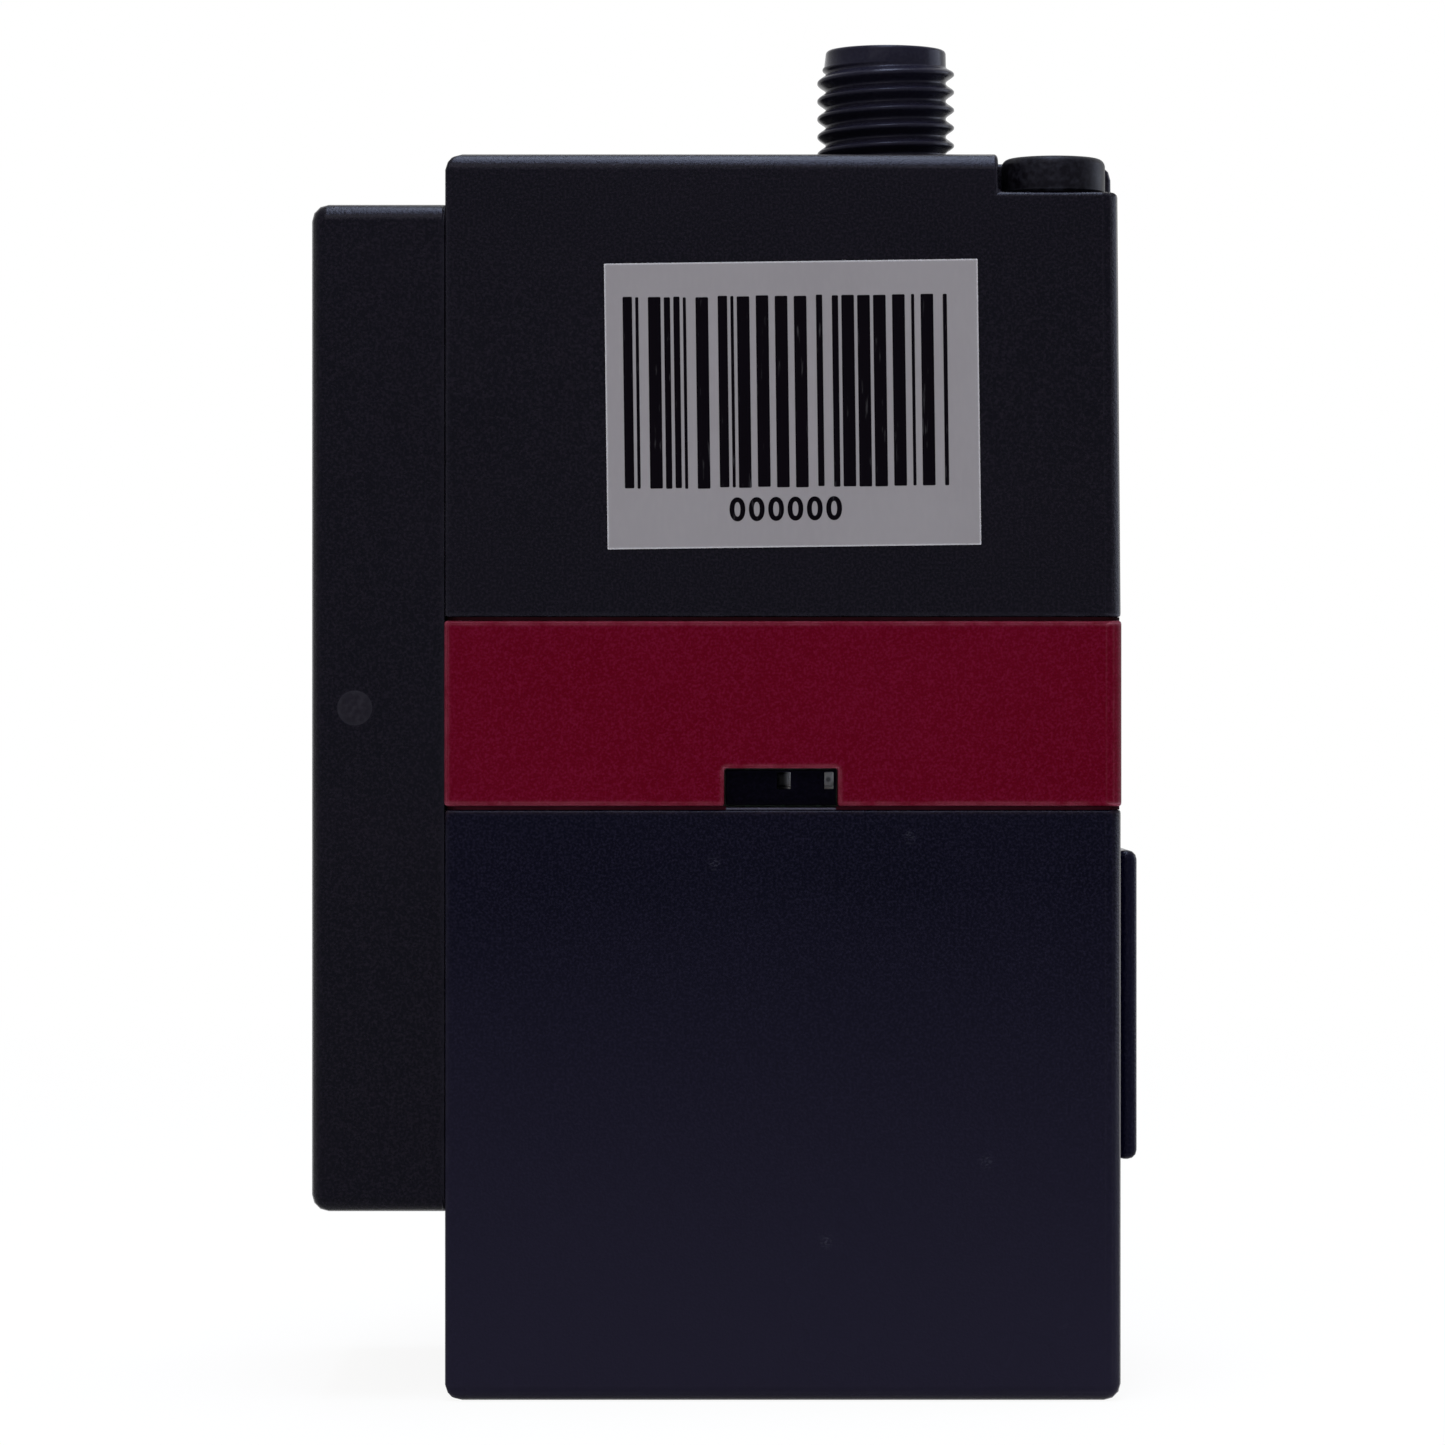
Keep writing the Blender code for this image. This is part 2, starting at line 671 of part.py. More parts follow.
def build_band():
    half_x = HALF_X + BAND_PROUD
    half_y = HALF_Y + BAND_PROUD
    top_z = BAND_Z + BAND_HEIGHT
    item = box("accent_band", (-half_x, -half_y, BAND_Z), (half_x, half_y, top_z), "band_plastic")
    round_edges(item, EDGE_FILLET, HOOD_CORNERS + [LOWER_SEAM, UPPER_SEAM])
    housing_cavity(item, BAND_Z - CUT, top_z + CUT, "band")
    optics_opening(item, BAND_Z - CUT, top_z + CUT, "band")
    screw_holes(item, BAND_Z - CUT, top_z + CUT, SCREW_SHANK_RADIUS + 2 * BORE_GAP, "band")
    low = (NOTCH_X - NOTCH_WIDTH / 2, -half_y - CUT, BAND_Z - CUT)
    high = (NOTCH_X + NOTCH_WIDTH / 2, -INNER_Y + CUT, BAND_Z + NOTCH_HEIGHT)
    cut(item, box("status_notch", low, high))


def build_upper_housing():
    low = (-HALF_X, -HALF_Y, UPPER_Z)
    high = (HALF_X, HALF_Y, TOP_Z)
    item = box("upper_housing", low, high, "housing_plastic")
    draft_top(item, UPPER_DRAFT)
    round_edges(item, EDGE_FILLET, HOOD_CORNERS + [LOWER_SEAM])
    housing_cavity(item, UPPER_Z - CUT, CEILING_Z, "upper")
    optics_opening(item, UPPER_Z - CUT, HOOD_MID_Z + APERTURE_Z, "upper")
    screw_holes(item, UPPER_Z - CUT, TOP_Z, SCREW_SHANK_RADIUS + 2 * BORE_GAP, "upper")
    hood_screw_holes(item, hood_screw_places()[2:], "upper")
    for side, place in ((-1, "front"), (1, "rear")):
        inner_y = side * (HALF_Y - POCKET_LENGTH)
        outer_y = side * (HALF_Y + CUT)
        low = (HALF_X - POCKET_WIDTH, min(inner_y, outer_y), POCKET_Z)
        high = (HALF_X + CUT, max(inner_y, outer_y), TOP_Z + CUT)
        cut(item, box(f"screw_pocket_{place}", low, high))
    add_connector_boss(item)
    add_standoffs(item)


def flange_top_z():
    """Upper face of the connector's flange, below the sealing ring."""
    return CEILING_Z - 2 * (ORING_SECTION + SEAT_GAP)


def retainer_z():
    return flange_top_z() - FLANGE_THICKNESS - FIT_GAP - RETAINER_HEIGHT


def add_connector_boss(item):
    """Hang a ring from the ceiling that takes the connector's flange and retainer."""
    low_z = retainer_z()
    inner = FLANGE_RADIUS + BORE_GAP
    height = CEILING_Z + TOP_WALL / 2 - low_z
    outer = inner + CONNECTOR_BOSS_WALL
    boss = cylinder("connector_boss", (CONNECTOR_X, 0.0, low_z), "+Z", outer, height)
    bore_base = (CONNECTOR_X, 0.0, low_z - CUT)
    bore = cylinder("connector_boss_bore", bore_base, "+Z", inner, CEILING_Z - low_z + CUT)
    hole_base = (CONNECTOR_X, 0.0, CEILING_Z - CUT)
    hole = cylinder("connector_hole", hole_base, "+Z", THREAD_RADIUS + BORE_GAP, TOP_WALL + 2 * CUT)
    join(item, boss)
    cut(item, bore, hole)


def standoff_places():
    reach_x = POST_X - STANDOFF_INSET
    reach_y = INNER_Y - STANDOFF_INSET
    return [(-reach_x, -reach_y), (reach_x, reach_y), (reach_x, -reach_y), (-reach_x, reach_y)]


def add_standoffs(item):
    """Hang four posts from the ceiling for the main board. The first two take its screws."""
    low_z = MAIN_BOARD_Z + BOARD_THICKNESS + SEAT_GAP
    for index, (place_x, place_y) in enumerate(standoff_places()):
        height = CEILING_Z + TOP_WALL / 2 - low_z
        post = cylinder(f"standoff_{index + 1}", (place_x, place_y, low_z), "+Z", STANDOFF_RADIUS, height,
                        steps=SMALL_STEPS)
        join(item, post)
    for index, (place_x, place_y) in enumerate(standoff_places()[:2]):
        radius = SMALL_SHANK_RADIUS + BORE_GAP
        hole = cylinder(f"standoff_hole_{index + 1}", (place_x, place_y, low_z - CUT), "+Z", radius,
                        BOARD_SCREW_LENGTH, steps=SMALL_STEPS)
        cut(item, hole)


def build_seam_gaskets():
    for name, seam_z in (("lower_gasket", LOWER_HEIGHT), ("upper_gasket", BAND_Z + BAND_HEIGHT)):
        low_z = seam_z + SEAT_GAP
        half_x = HALF_X - GASKET_INSET
        half_y = HALF_Y - GASKET_INSET
        high_z = low_z + GASKET_THICKNESS
        item = box(name, (-half_x, -half_y, low_z), (half_x, half_y, high_z), "rubber")
        housing_cavity(item, low_z - CUT, high_z + CUT, name)
        optics_opening(item, low_z - CUT, high_z + CUT, name)
        screw_holes(item, low_z - CUT, high_z + CUT, SCREW_SHANK_RADIUS + 2 * BORE_GAP, name)


def build_label():
    """A thin label that lies on the leaning front of the upper housing."""
    half_x = LABEL_WIDTH / 2
    half_z = LABEL_HEIGHT / 2
    low = (-half_x, -SEAT_GAP / 2 - LABEL_THICKNESS, -half_z)
    item = box("label", low, (half_x, -SEAT_GAP / 2, half_z), "label_paper")
    lean = math.atan(UPPER_DRAFT / UPPER_HEIGHT)
    place_z = TOP_Z - LABEL_DROP
    face_y = -HALF_Y + (place_z - UPPER_Z) * UPPER_DRAFT / UPPER_HEIGHT
    turn = Matrix.Rotation(-lean, 4, "X") @ Matrix.Rotation(-LABEL_TILT, 4, "Y")
    item.matrix_world = Matrix.Translation((LABEL_X, face_y, place_z)) @ turn @ item.matrix_basis


def build_housing_screws():
    sizes = (SCREW_HEAD_RADIUS, SCREW_HEAD_HEIGHT, SCREW_SHANK_RADIUS)
    length = POCKET_Z - LOWER_HEIGHT + SCREW_ENGAGEMENT
    for side, place in ((-1, "front"), (1, "rear")):
        seat = (SCREW_X, side * SCREW_Y, POCKET_Z + SEAT_GAP)
        pan_screw(f"housing_screw_{place}", seat, "+Z", sizes, length, "black_screw")


# Optics hood

def rebate_depth():
    return PANE_RECESS + PANE_THICKNESS + WINDOW_GASKET + 2 * SEAT_GAP


def build_optics_hood():
    half_y = HOOD_WIDTH / 2
    low = (HOOD_FACE, -half_y, HOOD_SILL)
    high = (HOOD_BACK, half_y, HOOD_SILL + HOOD_HEIGHT)
    item = box("optics_hood", low, high, "housing_plastic")
    round_edges(item, EDGE_FILLET, [({"+X"}, HOOD_BACK_FILLET)])
    rebate_y = PANE_WIDTH / 2 + FIT_GAP
    rebate_z = PANE_HEIGHT / 2 + FIT_GAP
    rebate = box(
        "window_rebate",
        (HOOD_FACE - CUT, -rebate_y, HOOD_MID_Z - rebate_z),
        (HOOD_FACE + rebate_depth(), rebate_y, HOOD_MID_Z + rebate_z),
    )
    aperture = box(
        "window_aperture",
        (HOOD_FACE - CUT, -APERTURE_Y, HOOD_MID_Z - APERTURE_Z),
        (HOOD_BACK + CUT, APERTURE_Y, HOOD_MID_Z + APERTURE_Z),
    )
    cut(item, rebate, aperture, hood_seal_ring("hood_seal_groove", FIT_GAP, CUT))
    for index, (place_y, place_z) in enumerate(hood_screw_places()):
        shaft = cylinder(f"hood_screw_way_{index + 1}", (HOOD_FACE - CUT, place_y, place_z), "+X",
                         SMALL_SHANK_RADIUS + 2 * BORE_GAP, HOOD_DEPTH + 2 * CUT, steps=SMALL_STEPS)
        head = cylinder(f"hood_screw_sink_{index + 1}", (HOOD_FACE - CUT, place_y, place_z), "+X",
                        SMALL_HEAD_RADIUS + BORE_GAP, CUT + HEAD_SINK + SMALL_HEAD_HEIGHT, steps=SMALL_STEPS)
        cut(item, shaft, head)
    pin_hole = cylinder("hood_pin_hole", hood_pin_base(-CUT), "+Y", HOOD_PIN_RADIUS + BORE_GAP,
                        CUT + HOOD_PIN_LENGTH + 2 * FIT_GAP, steps=SMALL_STEPS)
    cut(item, pin_hole)


def hood_pin_base(sink):
    return (HOOD_FACE + HOOD_PIN_INSET, -HOOD_WIDTH / 2 + sink, HOOD_MID_Z)


def hood_seal_ring(name, gap, rise, finish=None):
    """The seal round the optics opening, or with a gap its groove in the hood's back face."""
    inner_y = APERTURE_Y + HOOD_SEAL_MARGIN - gap
    inner_z = APERTURE_Z + HOOD_SEAL_MARGIN - gap
    outer_y = inner_y + HOOD_SEAL_WIDTH + 2 * gap
    outer_z = inner_z + HOOD_SEAL_WIDTH + 2 * gap
    low_x = HOOD_BACK - HOOD_SEAL_DEPTH - gap
    high_x = HOOD_BACK + rise
    low = (low_x, -outer_y, HOOD_MID_Z - outer_z)
    high = (high_x, outer_y, HOOD_MID_Z + outer_z)
    item = box(name, low, high, finish)
    middle = box(
        name + "_middle",
        (low_x - CUT, -inner_y, HOOD_MID_Z - inner_z), (high_x + CUT, inner_y, HOOD_MID_Z + inner_z),
    )
    cut(item, middle)
    return item


def build_window():
    face_x = HOOD_FACE + PANE_RECESS
    half_y = PANE_WIDTH / 2
    half_z = PANE_HEIGHT / 2
    low = (face_x, -half_y, HOOD_MID_Z - half_z)
    high = (face_x + PANE_THICKNESS, half_y, HOOD_MID_Z + half_z)
    pane = box("reading_window", low, high, "window_glass")
    round_edges(pane, SEAM_FILLET, steps=2)
    gasket_x = face_x + PANE_THICKNESS + SEAT_GAP
    low = (gasket_x, -half_y, HOOD_MID_Z - half_z)
    high = (gasket_x + WINDOW_GASKET, half_y, HOOD_MID_Z + half_z)
    gasket = box("window_gasket", low, high, "rubber")
    middle = box(
        "window_gasket_middle",
        (gasket_x - CUT, -APERTURE_Y, HOOD_MID_Z - APERTURE_Z),
        (gasket_x + WINDOW_GASKET + CUT, APERTURE_Y, HOOD_MID_Z + APERTURE_Z),
    )
    cut(gasket, middle)
    hood_seal_ring("hood_gasket", 0.0, 0.0, "rubber")


def build_hood_fasteners():
    sizes = (SMALL_HEAD_RADIUS, SMALL_HEAD_HEIGHT - SEAT_GAP, SMALL_SHANK_RADIUS)
    seat_x = HOOD_FACE + HEAD_SINK + SMALL_HEAD_HEIGHT - SEAT_GAP
    length = -HALF_X - seat_x + HOOD_SCREW_ENGAGEMENT
    for index, (place_y, place_z) in enumerate(hood_screw_places()):
        seat = (seat_x, place_y, place_z)
        pan_screw(f"hood_screw_{index + 1}", seat, "-X", sizes, length, "black_screw")
    cylinder("hood_pin", hood_pin_base(FIT_GAP), "+Y", HOOD_PIN_RADIUS, HOOD_PIN_LENGTH, "component",
             steps=SMALL_STEPS)


# Mounting pad

def build_rear_pad():
    low_x = HALF_X + SEAT_GAP
    low = (low_x, -PAD_WIDTH / 2, PAD_CENTRE_Z - PAD_HEIGHT / 2)
    high = (low_x + PAD_THICKNESS, PAD_WIDTH / 2, PAD_CENTRE_Z + PAD_HEIGHT / 2)
    item = box("rear_pad", low, high, "housing_plastic")
    round_edges(item, PAD_FILLET, steps=3)
    for index, (place_y, place_z) in enumerate(insert_places()):
        hole = cylinder(f"pad_hole_{index + 1}", (low_x - CUT, place_y, place_z), "+X",
                        INSERT_RADIUS + BORE_GAP, PAD_THICKNESS + 2 * CUT)
        cut(item, hole)
        ring(f"mount_insert_{index + 1}", (insert_depth_x(), place_y, place_z), "+X", INSERT_RADIUS,
             INSERT_BORE, INSERT_LENGTH, "brass", steps=SMALL_STEPS)


# Round connector

def build_connector():
    axis = (CONNECTOR_X, 0.0, 0.0)
    flange_top = flange_top_z()
    flange_low = flange_top - FLANGE_THICKNESS
    tail_z = CEILING_Z - CONNECTOR_TAIL
    nose_z = RIM_Z - NOSE_HEIGHT
    lead = THREAD_RADIUS - NOSE_RADIUS
    profile = [
        (SOCKET_RADIUS, RIM_Z),
        (NOSE_RADIUS - SEAM_FILLET, RIM_Z), (NOSE_RADIUS, RIM_Z - SEAM_FILLET),
        (NOSE_RADIUS, nose_z), (THREAD_RADIUS, nose_z - lead), (THREAD_RADIUS, flange_top),
        (FLANGE_RADIUS, flange_top), (FLANGE_RADIUS, flange_low), (THREAD_RADIUS, flange_low),
        (THREAD_RADIUS, tail_z), (SOCKET_RADIUS, tail_z),
    ]
    turned("connector_shell", profile, axis, "+Z", "black_screw", closed=True)
    build_sealing_ring(flange_top)
    retainer_base = (CONNECTOR_X, 0.0, retainer_z())
    ring("connector_retainer", retainer_base, "+Z", FLANGE_RADIUS, THREAD_RADIUS + FIT_GAP,
         RETAINER_HEIGHT, "brass")
    build_contacts(tail_z)


def build_sealing_ring(flange_top):
    centre_radius = THREAD_RADIUS + FIT_GAP + ORING_SECTION
    centre_z = flange_top + SEAT_GAP + ORING_SECTION
    profile = []
    for step in range(SMALL_STEPS // 2):
        angle = -2 * math.pi * step / (SMALL_STEPS // 2)
        out = ORING_SECTION * math.cos(angle)
        profile.append((centre_radius + out, ORING_SECTION * math.sin(angle)))
    turned("connector_oring", profile, (CONNECTOR_X, 0.0, centre_z), "+Z", "rubber", closed=True)


def pin_places():
    places = []
    for index in range(PIN_COUNT):
        angle = 2 * math.pi * (index + 0.5) / PIN_COUNT
        places.append((CONNECTOR_X + PIN_CIRCLE * math.cos(angle), PIN_CIRCLE * math.sin(angle)))
    return places


def build_contacts(tail_z):
    """The contact carrier, with its shoulder under the shell, and the contact pins."""
    face_z = RIM_Z - SOCKET_DEPTH
    shoulder_z = tail_z - SEAT_GAP
    low_z = shoulder_z - INSERT_FLANGE_HEIGHT
    body = SOCKET_RADIUS - FIT_GAP
    profile = [
        (0.0, face_z), (body, face_z), (body, shoulder_z), (INSERT_FLANGE_RADIUS, shoulder_z),
        (INSERT_FLANGE_RADIUS, low_z), (0.0, low_z),
    ]
    item = turned("connector_insert", profile, (CONNECTOR_X, 0.0, 0.0), "+Z", "component")
    tip_z = RIM_Z - PIN_BELOW_RIM
    end_z = MAIN_BOARD_Z - PIN_TAIL
    for index, (place_x, place_y) in enumerate(pin_places()):
        hole = cylinder(f"contact_way_{index + 1}", (place_x, place_y, low_z - CUT), "+Z",
                        PIN_RADIUS + SEAT_GAP, face_z - low_z + 2 * CUT, steps=SMALL_STEPS)
        cut(item, hole)
        pin_profile = [
            (0.0, tip_z), (PIN_RADIUS - PIN_TIP, tip_z), (PIN_RADIUS, tip_z - PIN_TIP),
            (PIN_RADIUS, end_z), (0.0, end_z),
        ]
        turned(f"connector_pin_{index + 1}", pin_profile, (place_x, place_y, 0.0), "+Z", "gold",
               steps=SMALL_STEPS)


# Status window

def build_status():
    bezel_y = -HALF_Y - BAND_PROUD + BEZEL_RECESS
    bezel_back = bezel_y + BEZEL_THICKNESS
    half_x = NOTCH_WIDTH / 2 - FIT_GAP
    low = (NOTCH_X - half_x, bezel_y, BAND_Z + SEAT_GAP)
    high = (NOTCH_X + half_x, bezel_back, BAND_Z + NOTCH_HEIGHT - FIT_GAP)
    bezel = box("status_bezel", low, high, "component")
    sill_z = BAND_Z + BEZEL_SILL
    for index, place_x in enumerate(BEZEL_OPENING_OFFSETS):
        half_x = BEZEL_OPENING_WIDTHS[index] / 2
        low = (place_x - half_x, bezel_y - CUT, sill_z)
        high = (place_x + half_x, bezel_back + CUT, sill_z + BEZEL_OPENING_HEIGHT)
        cut(bezel, box(f"bezel_opening_{index + 1}", low, high))
    front_y = status_board_y()
    low = (-STATUS_BOARD_WIDTH / 2, front_y, BAND_Z - STATUS_BOARD_DROP)
    high_z = BAND_Z + NOTCH_HEIGHT + STATUS_BOARD_RISE
    high = (STATUS_BOARD_WIDTH / 2, front_y + BOARD_THICKNESS, high_z)
    board = box("status_board", low, high, "circuit_board")
    hole = cylinder("status_board_hole", (0.0, front_y - CUT, status_screw_z()), "+Y",
                    SMALL_SHANK_RADIUS + BORE_GAP, BOARD_THICKNESS + 2 * CUT, steps=SMALL_STEPS)
    cut(board, hole)
    sizes = (SMALL_HEAD_RADIUS, SMALL_HEAD_HEIGHT, SMALL_SHANK_RADIUS)
    seat = (0.0, front_y + BOARD_THICKNESS + SEAT_GAP, status_screw_z())
    pan_screw("status_screw", seat, "+Y", sizes, STATUS_SCREW_LENGTH, "steel", recess=False)
    led_z = BAND_Z + LED_LIFT
    led_front = bezel_back + FIT_GAP
    for index, place_x in enumerate(LED_OFFSETS):
        low = (place_x - LED_WIDTH / 2, led_front, led_z - LED_HEIGHT / 2)
        high = (place_x + LED_WIDTH / 2, front_y - SEAT_GAP, led_z + LED_HEIGHT / 2)
        box(f"status_led_{index + 1}", low, high, "led")


# Boards

def build_main_board():
    half_x = POST_X - BOARD_EDGE_GAP
    half_y = INNER_Y - BOARD_EDGE_GAP
    top_z = MAIN_BOARD_Z + BOARD_THICKNESS
    low = (-half_x, -half_y, MAIN_BOARD_Z)
    board = box("main_board", low, (half_x, half_y, top_z), "circuit_board")
    for index, (place_x, place_y) in enumerate(pin_places()):
        hole = cylinder(f"contact_pad_{index + 1}", (place_x, place_y, MAIN_BOARD_Z - CUT), "+Z",
                        PIN_RADIUS + SEAT_GAP, BOARD_THICKNESS + 2 * CUT, steps=SMALL_STEPS)
        cut(board, hole)
    sizes = (SMALL_HEAD_RADIUS, SMALL_HEAD_HEIGHT, SMALL_SHANK_RADIUS)
    for index, (place_x, place_y) in enumerate(standoff_places()[:2]):
        hole = cylinder(f"board_hole_{index + 1}", (place_x, place_y, MAIN_BOARD_Z - CUT), "+Z",
                        SMALL_SHANK_RADIUS + BORE_GAP, BOARD_THICKNESS + 2 * CUT, steps=SMALL_STEPS)
        cut(board, hole)
        seat = (place_x, place_y, MAIN_BOARD_Z - SEAT_GAP)
        pan_screw(f"board_screw_{index + 1}", seat, "-Z", sizes, BOARD_SCREW_LENGTH, "steel",
                  recess=False)
    chip_x = -half_x + BOARD_EDGE_GAP + CHIP_SIZE / 2
    chip_low = (chip_x - CHIP_SIZE / 2, -CHIP_SIZE / 2, top_z + SEAT_GAP)
    chip_high = (chip_x + CHIP_SIZE / 2, CHIP_SIZE / 2, top_z + SEAT_GAP + CHIP_HEIGHT)
    round_edges(box("processor_chip", chip_low, chip_high, "component"), SEAM_FILLET, steps=1)
    coil_x = half_x - INDUCTOR_SIZE
    coil_y = CHIP_SIZE / 2
    coil_top = MAIN_BOARD_Z - SEAT_GAP
    coil_low = (coil_x - INDUCTOR_SIZE, coil_y - INDUCTOR_SIZE / 2, coil_top - INDUCTOR_HEIGHT)
    coil_high = (coil_x, coil_y + INDUCTOR_SIZE / 2, coil_top)
    round_edges(box("power_inductor", coil_low, coil_high, "component"), 2 * SEAM_FILLET, steps=2)


def arc_points(centre, radius, first, last):
    """Points of an arc in the XZ plane, between two angles in degrees."""
    points = []
    for step in range(FILLET_STEPS + 1):
        angle = math.radians(first + (last - first) * step / FILLET_STEPS)
        points.append((centre[0] + radius * math.cos(angle), centre[1] + radius * math.sin(angle)))
    return points


def build_flex():
    """A flat cable from under the main board, down past the laser, to the receiver board."""
    high_z = MAIN_BOARD_Z - SEAT_GAP - FLEX_THICKNESS / 2
    low_z = RECEIVER_TOP + SEAT_GAP + FLEX_THICKNESS / 2
    inner_x = FLEX_X - FLEX_BEND
    path = [(POST_X - BOARD_EDGE_GAP - FLEX_OVERLAP, high_z)]
    path += arc_points((inner_x, high_z - FLEX_BEND), FLEX_BEND, 90, 0)
    path += arc_points((inner_x, low_z + FLEX_BEND), FLEX_BEND, 0, -90)
    path.append((receiver_end_x() - FLEX_OVERLAP, low_z))
    half = FLEX_WIDTH / 2
    points = [(x, side * half, z) for side in (-1, 1) for x, z in path]
    count = len(path)
    faces = [(index, index + 1, count + index + 1, count + index) for index in range(count - 1)]
    mesh = bpy.data.meshes.new("flex_cable")
    mesh.from_pydata(points, [], faces)
    item = add_object("flex_cable", mesh, "flex")
    skin = item.modifiers.new("thickness", "SOLIDIFY")
    skin.thickness = FLEX_THICKNESS
    skin.offset = 0.0
    skin.use_even_offset = True


# Optics chassis

def receiver_end_x():
    return CHASSIS_X - RECEIVER_END_GAP


def receiver_posts():
    inset = RECEIVER_POST_RADIUS + FIT_GAP
    near_x = -CHASSIS_X + inset
    far_x = receiver_end_x() - inset
    reach_y = RECEIVER_WIDTH / 2 - inset
    return [(near_x, -reach_y), (far_x, -reach_y), (near_x, reach_y), (far_x, reach_y)]


def build_chassis():
    low = (-CHASSIS_X, CHASSIS_FRONT, CHASSIS_Z)
    item = box("optics_chassis", low, (CHASSIS_X, CHASSIS_BACK, CHASSIS_TOP), "cast_metal")
    low = (-CHASSIS_X, -CHASSIS_BACK, CHASSIS_Z)
    join(item, box("chassis_base", low, (CHASSIS_X, CHASSIS_BACK, CHASSIS_DECK)))
    add_gussets(item)
    add_laser_block(item)
    add_mirror_arm(item)
    add_collector_seat(item)
    for index, (place_x, place_y) in enumerate(receiver_posts()):
        base = (place_x, place_y, CHASSIS_DECK - CHASSIS_BASE / 2)
        height = CHASSIS_BASE / 2 + RECEIVER_STANDOFF
        post = cylinder(f"receiver_post_{index + 1}", base, "+Z", RECEIVER_POST_RADIUS, height,
                        steps=SMALL_STEPS)
        join(item, post)
    sizes = (SMALL_HEAD_RADIUS, SMALL_HEAD_HEIGHT, SMALL_SHANK_RADIUS)
    for index, (place_x, place_y) in enumerate(chassis_screw_places()):
        hole = cylinder(f"chassis_hole_{index + 1}", (place_x, place_y, CHASSIS_Z - CUT), "+Z",
                        SMALL_SHANK_RADIUS + BORE_GAP, CHASSIS_BASE + 2 * CUT, steps=SMALL_STEPS)
        cut(item, hole)
        seat = (place_x, place_y, CHASSIS_DECK + SEAT_GAP)
        pan_screw(f"chassis_screw_{index + 1}", seat, "+Z", sizes, CHASSIS_SCREW_LENGTH, "steel",
                  recess=False)
    way = cylinder("sleeve_way", (ROTOR_X, CHASSIS_FRONT - CUT, ROTOR_Z), "+Y",
                   SLEEVE_RADIUS + BORE_GAP, CHASSIS_PLATE + 2 * CUT)
    cut(item, way)


def add_gussets(item):
    """Two triangular ribs between the plate and the base."""
    root = CHASSIS_BASE / 2
    outline = [(-GUSSET_RUN, -root), (root, -root), (root, GUSSET_RUN)]
    inner_x = receiver_end_x() + BOARD_EDGE_GAP + GUSSET_THICKNESS / 2
    outer_x = CHASSIS_X - GUSSET_THICKNESS / 2
    for place, place_x in (("inner", inner_x), ("outer", outer_x)):
        base = (place_x, CHASSIS_FRONT, CHASSIS_DECK)
        rib = plate(f"gusset_{place}", outline, GUSSET_THICKNESS, (0.0, 0.0, 0.0), "+Z")
        upright = Matrix.Rotation(math.pi / 2, 4, "Z") @ Matrix.Rotation(math.pi / 2, 4, "X")
        rib.matrix_world = Matrix.Translation(base) @ upright
        join(item, rib)


def add_laser_block(item):
    """A block on the plate with a bore for the laser barrel."""
    half = BARREL_RADIUS + BORE_GAP + LASER_BLOCK_WALL
    low = (LASER_FRONT_X + LASER_BLOCK_WALL, BEAM_Y - half, LASER_Z - half)
    high = (low[0] + LASER_BLOCK_LENGTH, CHASSIS_FRONT + CHASSIS_PLATE / 2, LASER_Z + half)
    join(item, box("laser_block", low, high))
    bore = cylinder("laser_bore", (low[0] - CUT, BEAM_Y, LASER_Z), "+X", BARREL_RADIUS + BORE_GAP,
                    LASER_BLOCK_LENGTH + 2 * CUT)
    cut(item, bore)


def beam_frame():
    """The folding mirror's middle, with its face towards +X and +Z."""
    return Matrix.Translation((BEAM_X, BEAM_Y, LASER_Z)) @ Matrix.Rotation(math.pi / 4, 4, "Y")


def add_mirror_arm(item):
    """A bar from the plate, turned to carry the folding mirror on its face."""
    top = -MIRROR_THICKNESS - FIT_GAP
    reach = CHASSIS_FRONT + CHASSIS_PLATE / 2 - BEAM_Y
    half = MIRROR_SIZE / 2
    arm = box("mirror_arm", (-half, -half, top - MIRROR_ARM), (half, reach, top))
    arm.matrix_world = beam_frame() @ arm.matrix_basis
    join(item, arm)


def add_collector_seat(item):
    """A ring round the collecting lens, on an arm from the plate."""
    depth = COLLECTOR_LEDGE + COLLECTOR_EDGE + SEAT_GAP
    base = (BEAM_X, BEAM_Y, COLLECTOR_Z)
    outer = COLLECTOR_RADIUS + BORE_GAP + COLLECTOR_RIM
    low = (BEAM_X - COLLECTOR_ARM_WIDTH / 2, BEAM_Y + COLLECTOR_RADIUS, COLLECTOR_Z)
    plate_mid = CHASSIS_FRONT + CHASSIS_PLATE / 2
    high = (BEAM_X + COLLECTOR_ARM_WIDTH / 2, plate_mid, COLLECTOR_Z + depth)
    arm = box("collector_arm", low, high)
    join(item, arm, cylinder("collector_ring", base, "+Z", outer, depth))
    way_base = (BEAM_X, BEAM_Y, COLLECTOR_Z - CUT)
    way = cylinder("collector_way", way_base, "+Z", COLLECTOR_RADIUS - COLLECTOR_LEDGE, depth + 2 * CUT)
    seat_base = (BEAM_X, BEAM_Y, COLLECTOR_Z + COLLECTOR_LEDGE)
    seat = cylinder("collector_bore", seat_base, "+Z", COLLECTOR_RADIUS + BORE_GAP, depth)
    cut(item, way, seat)


# Mirror drive

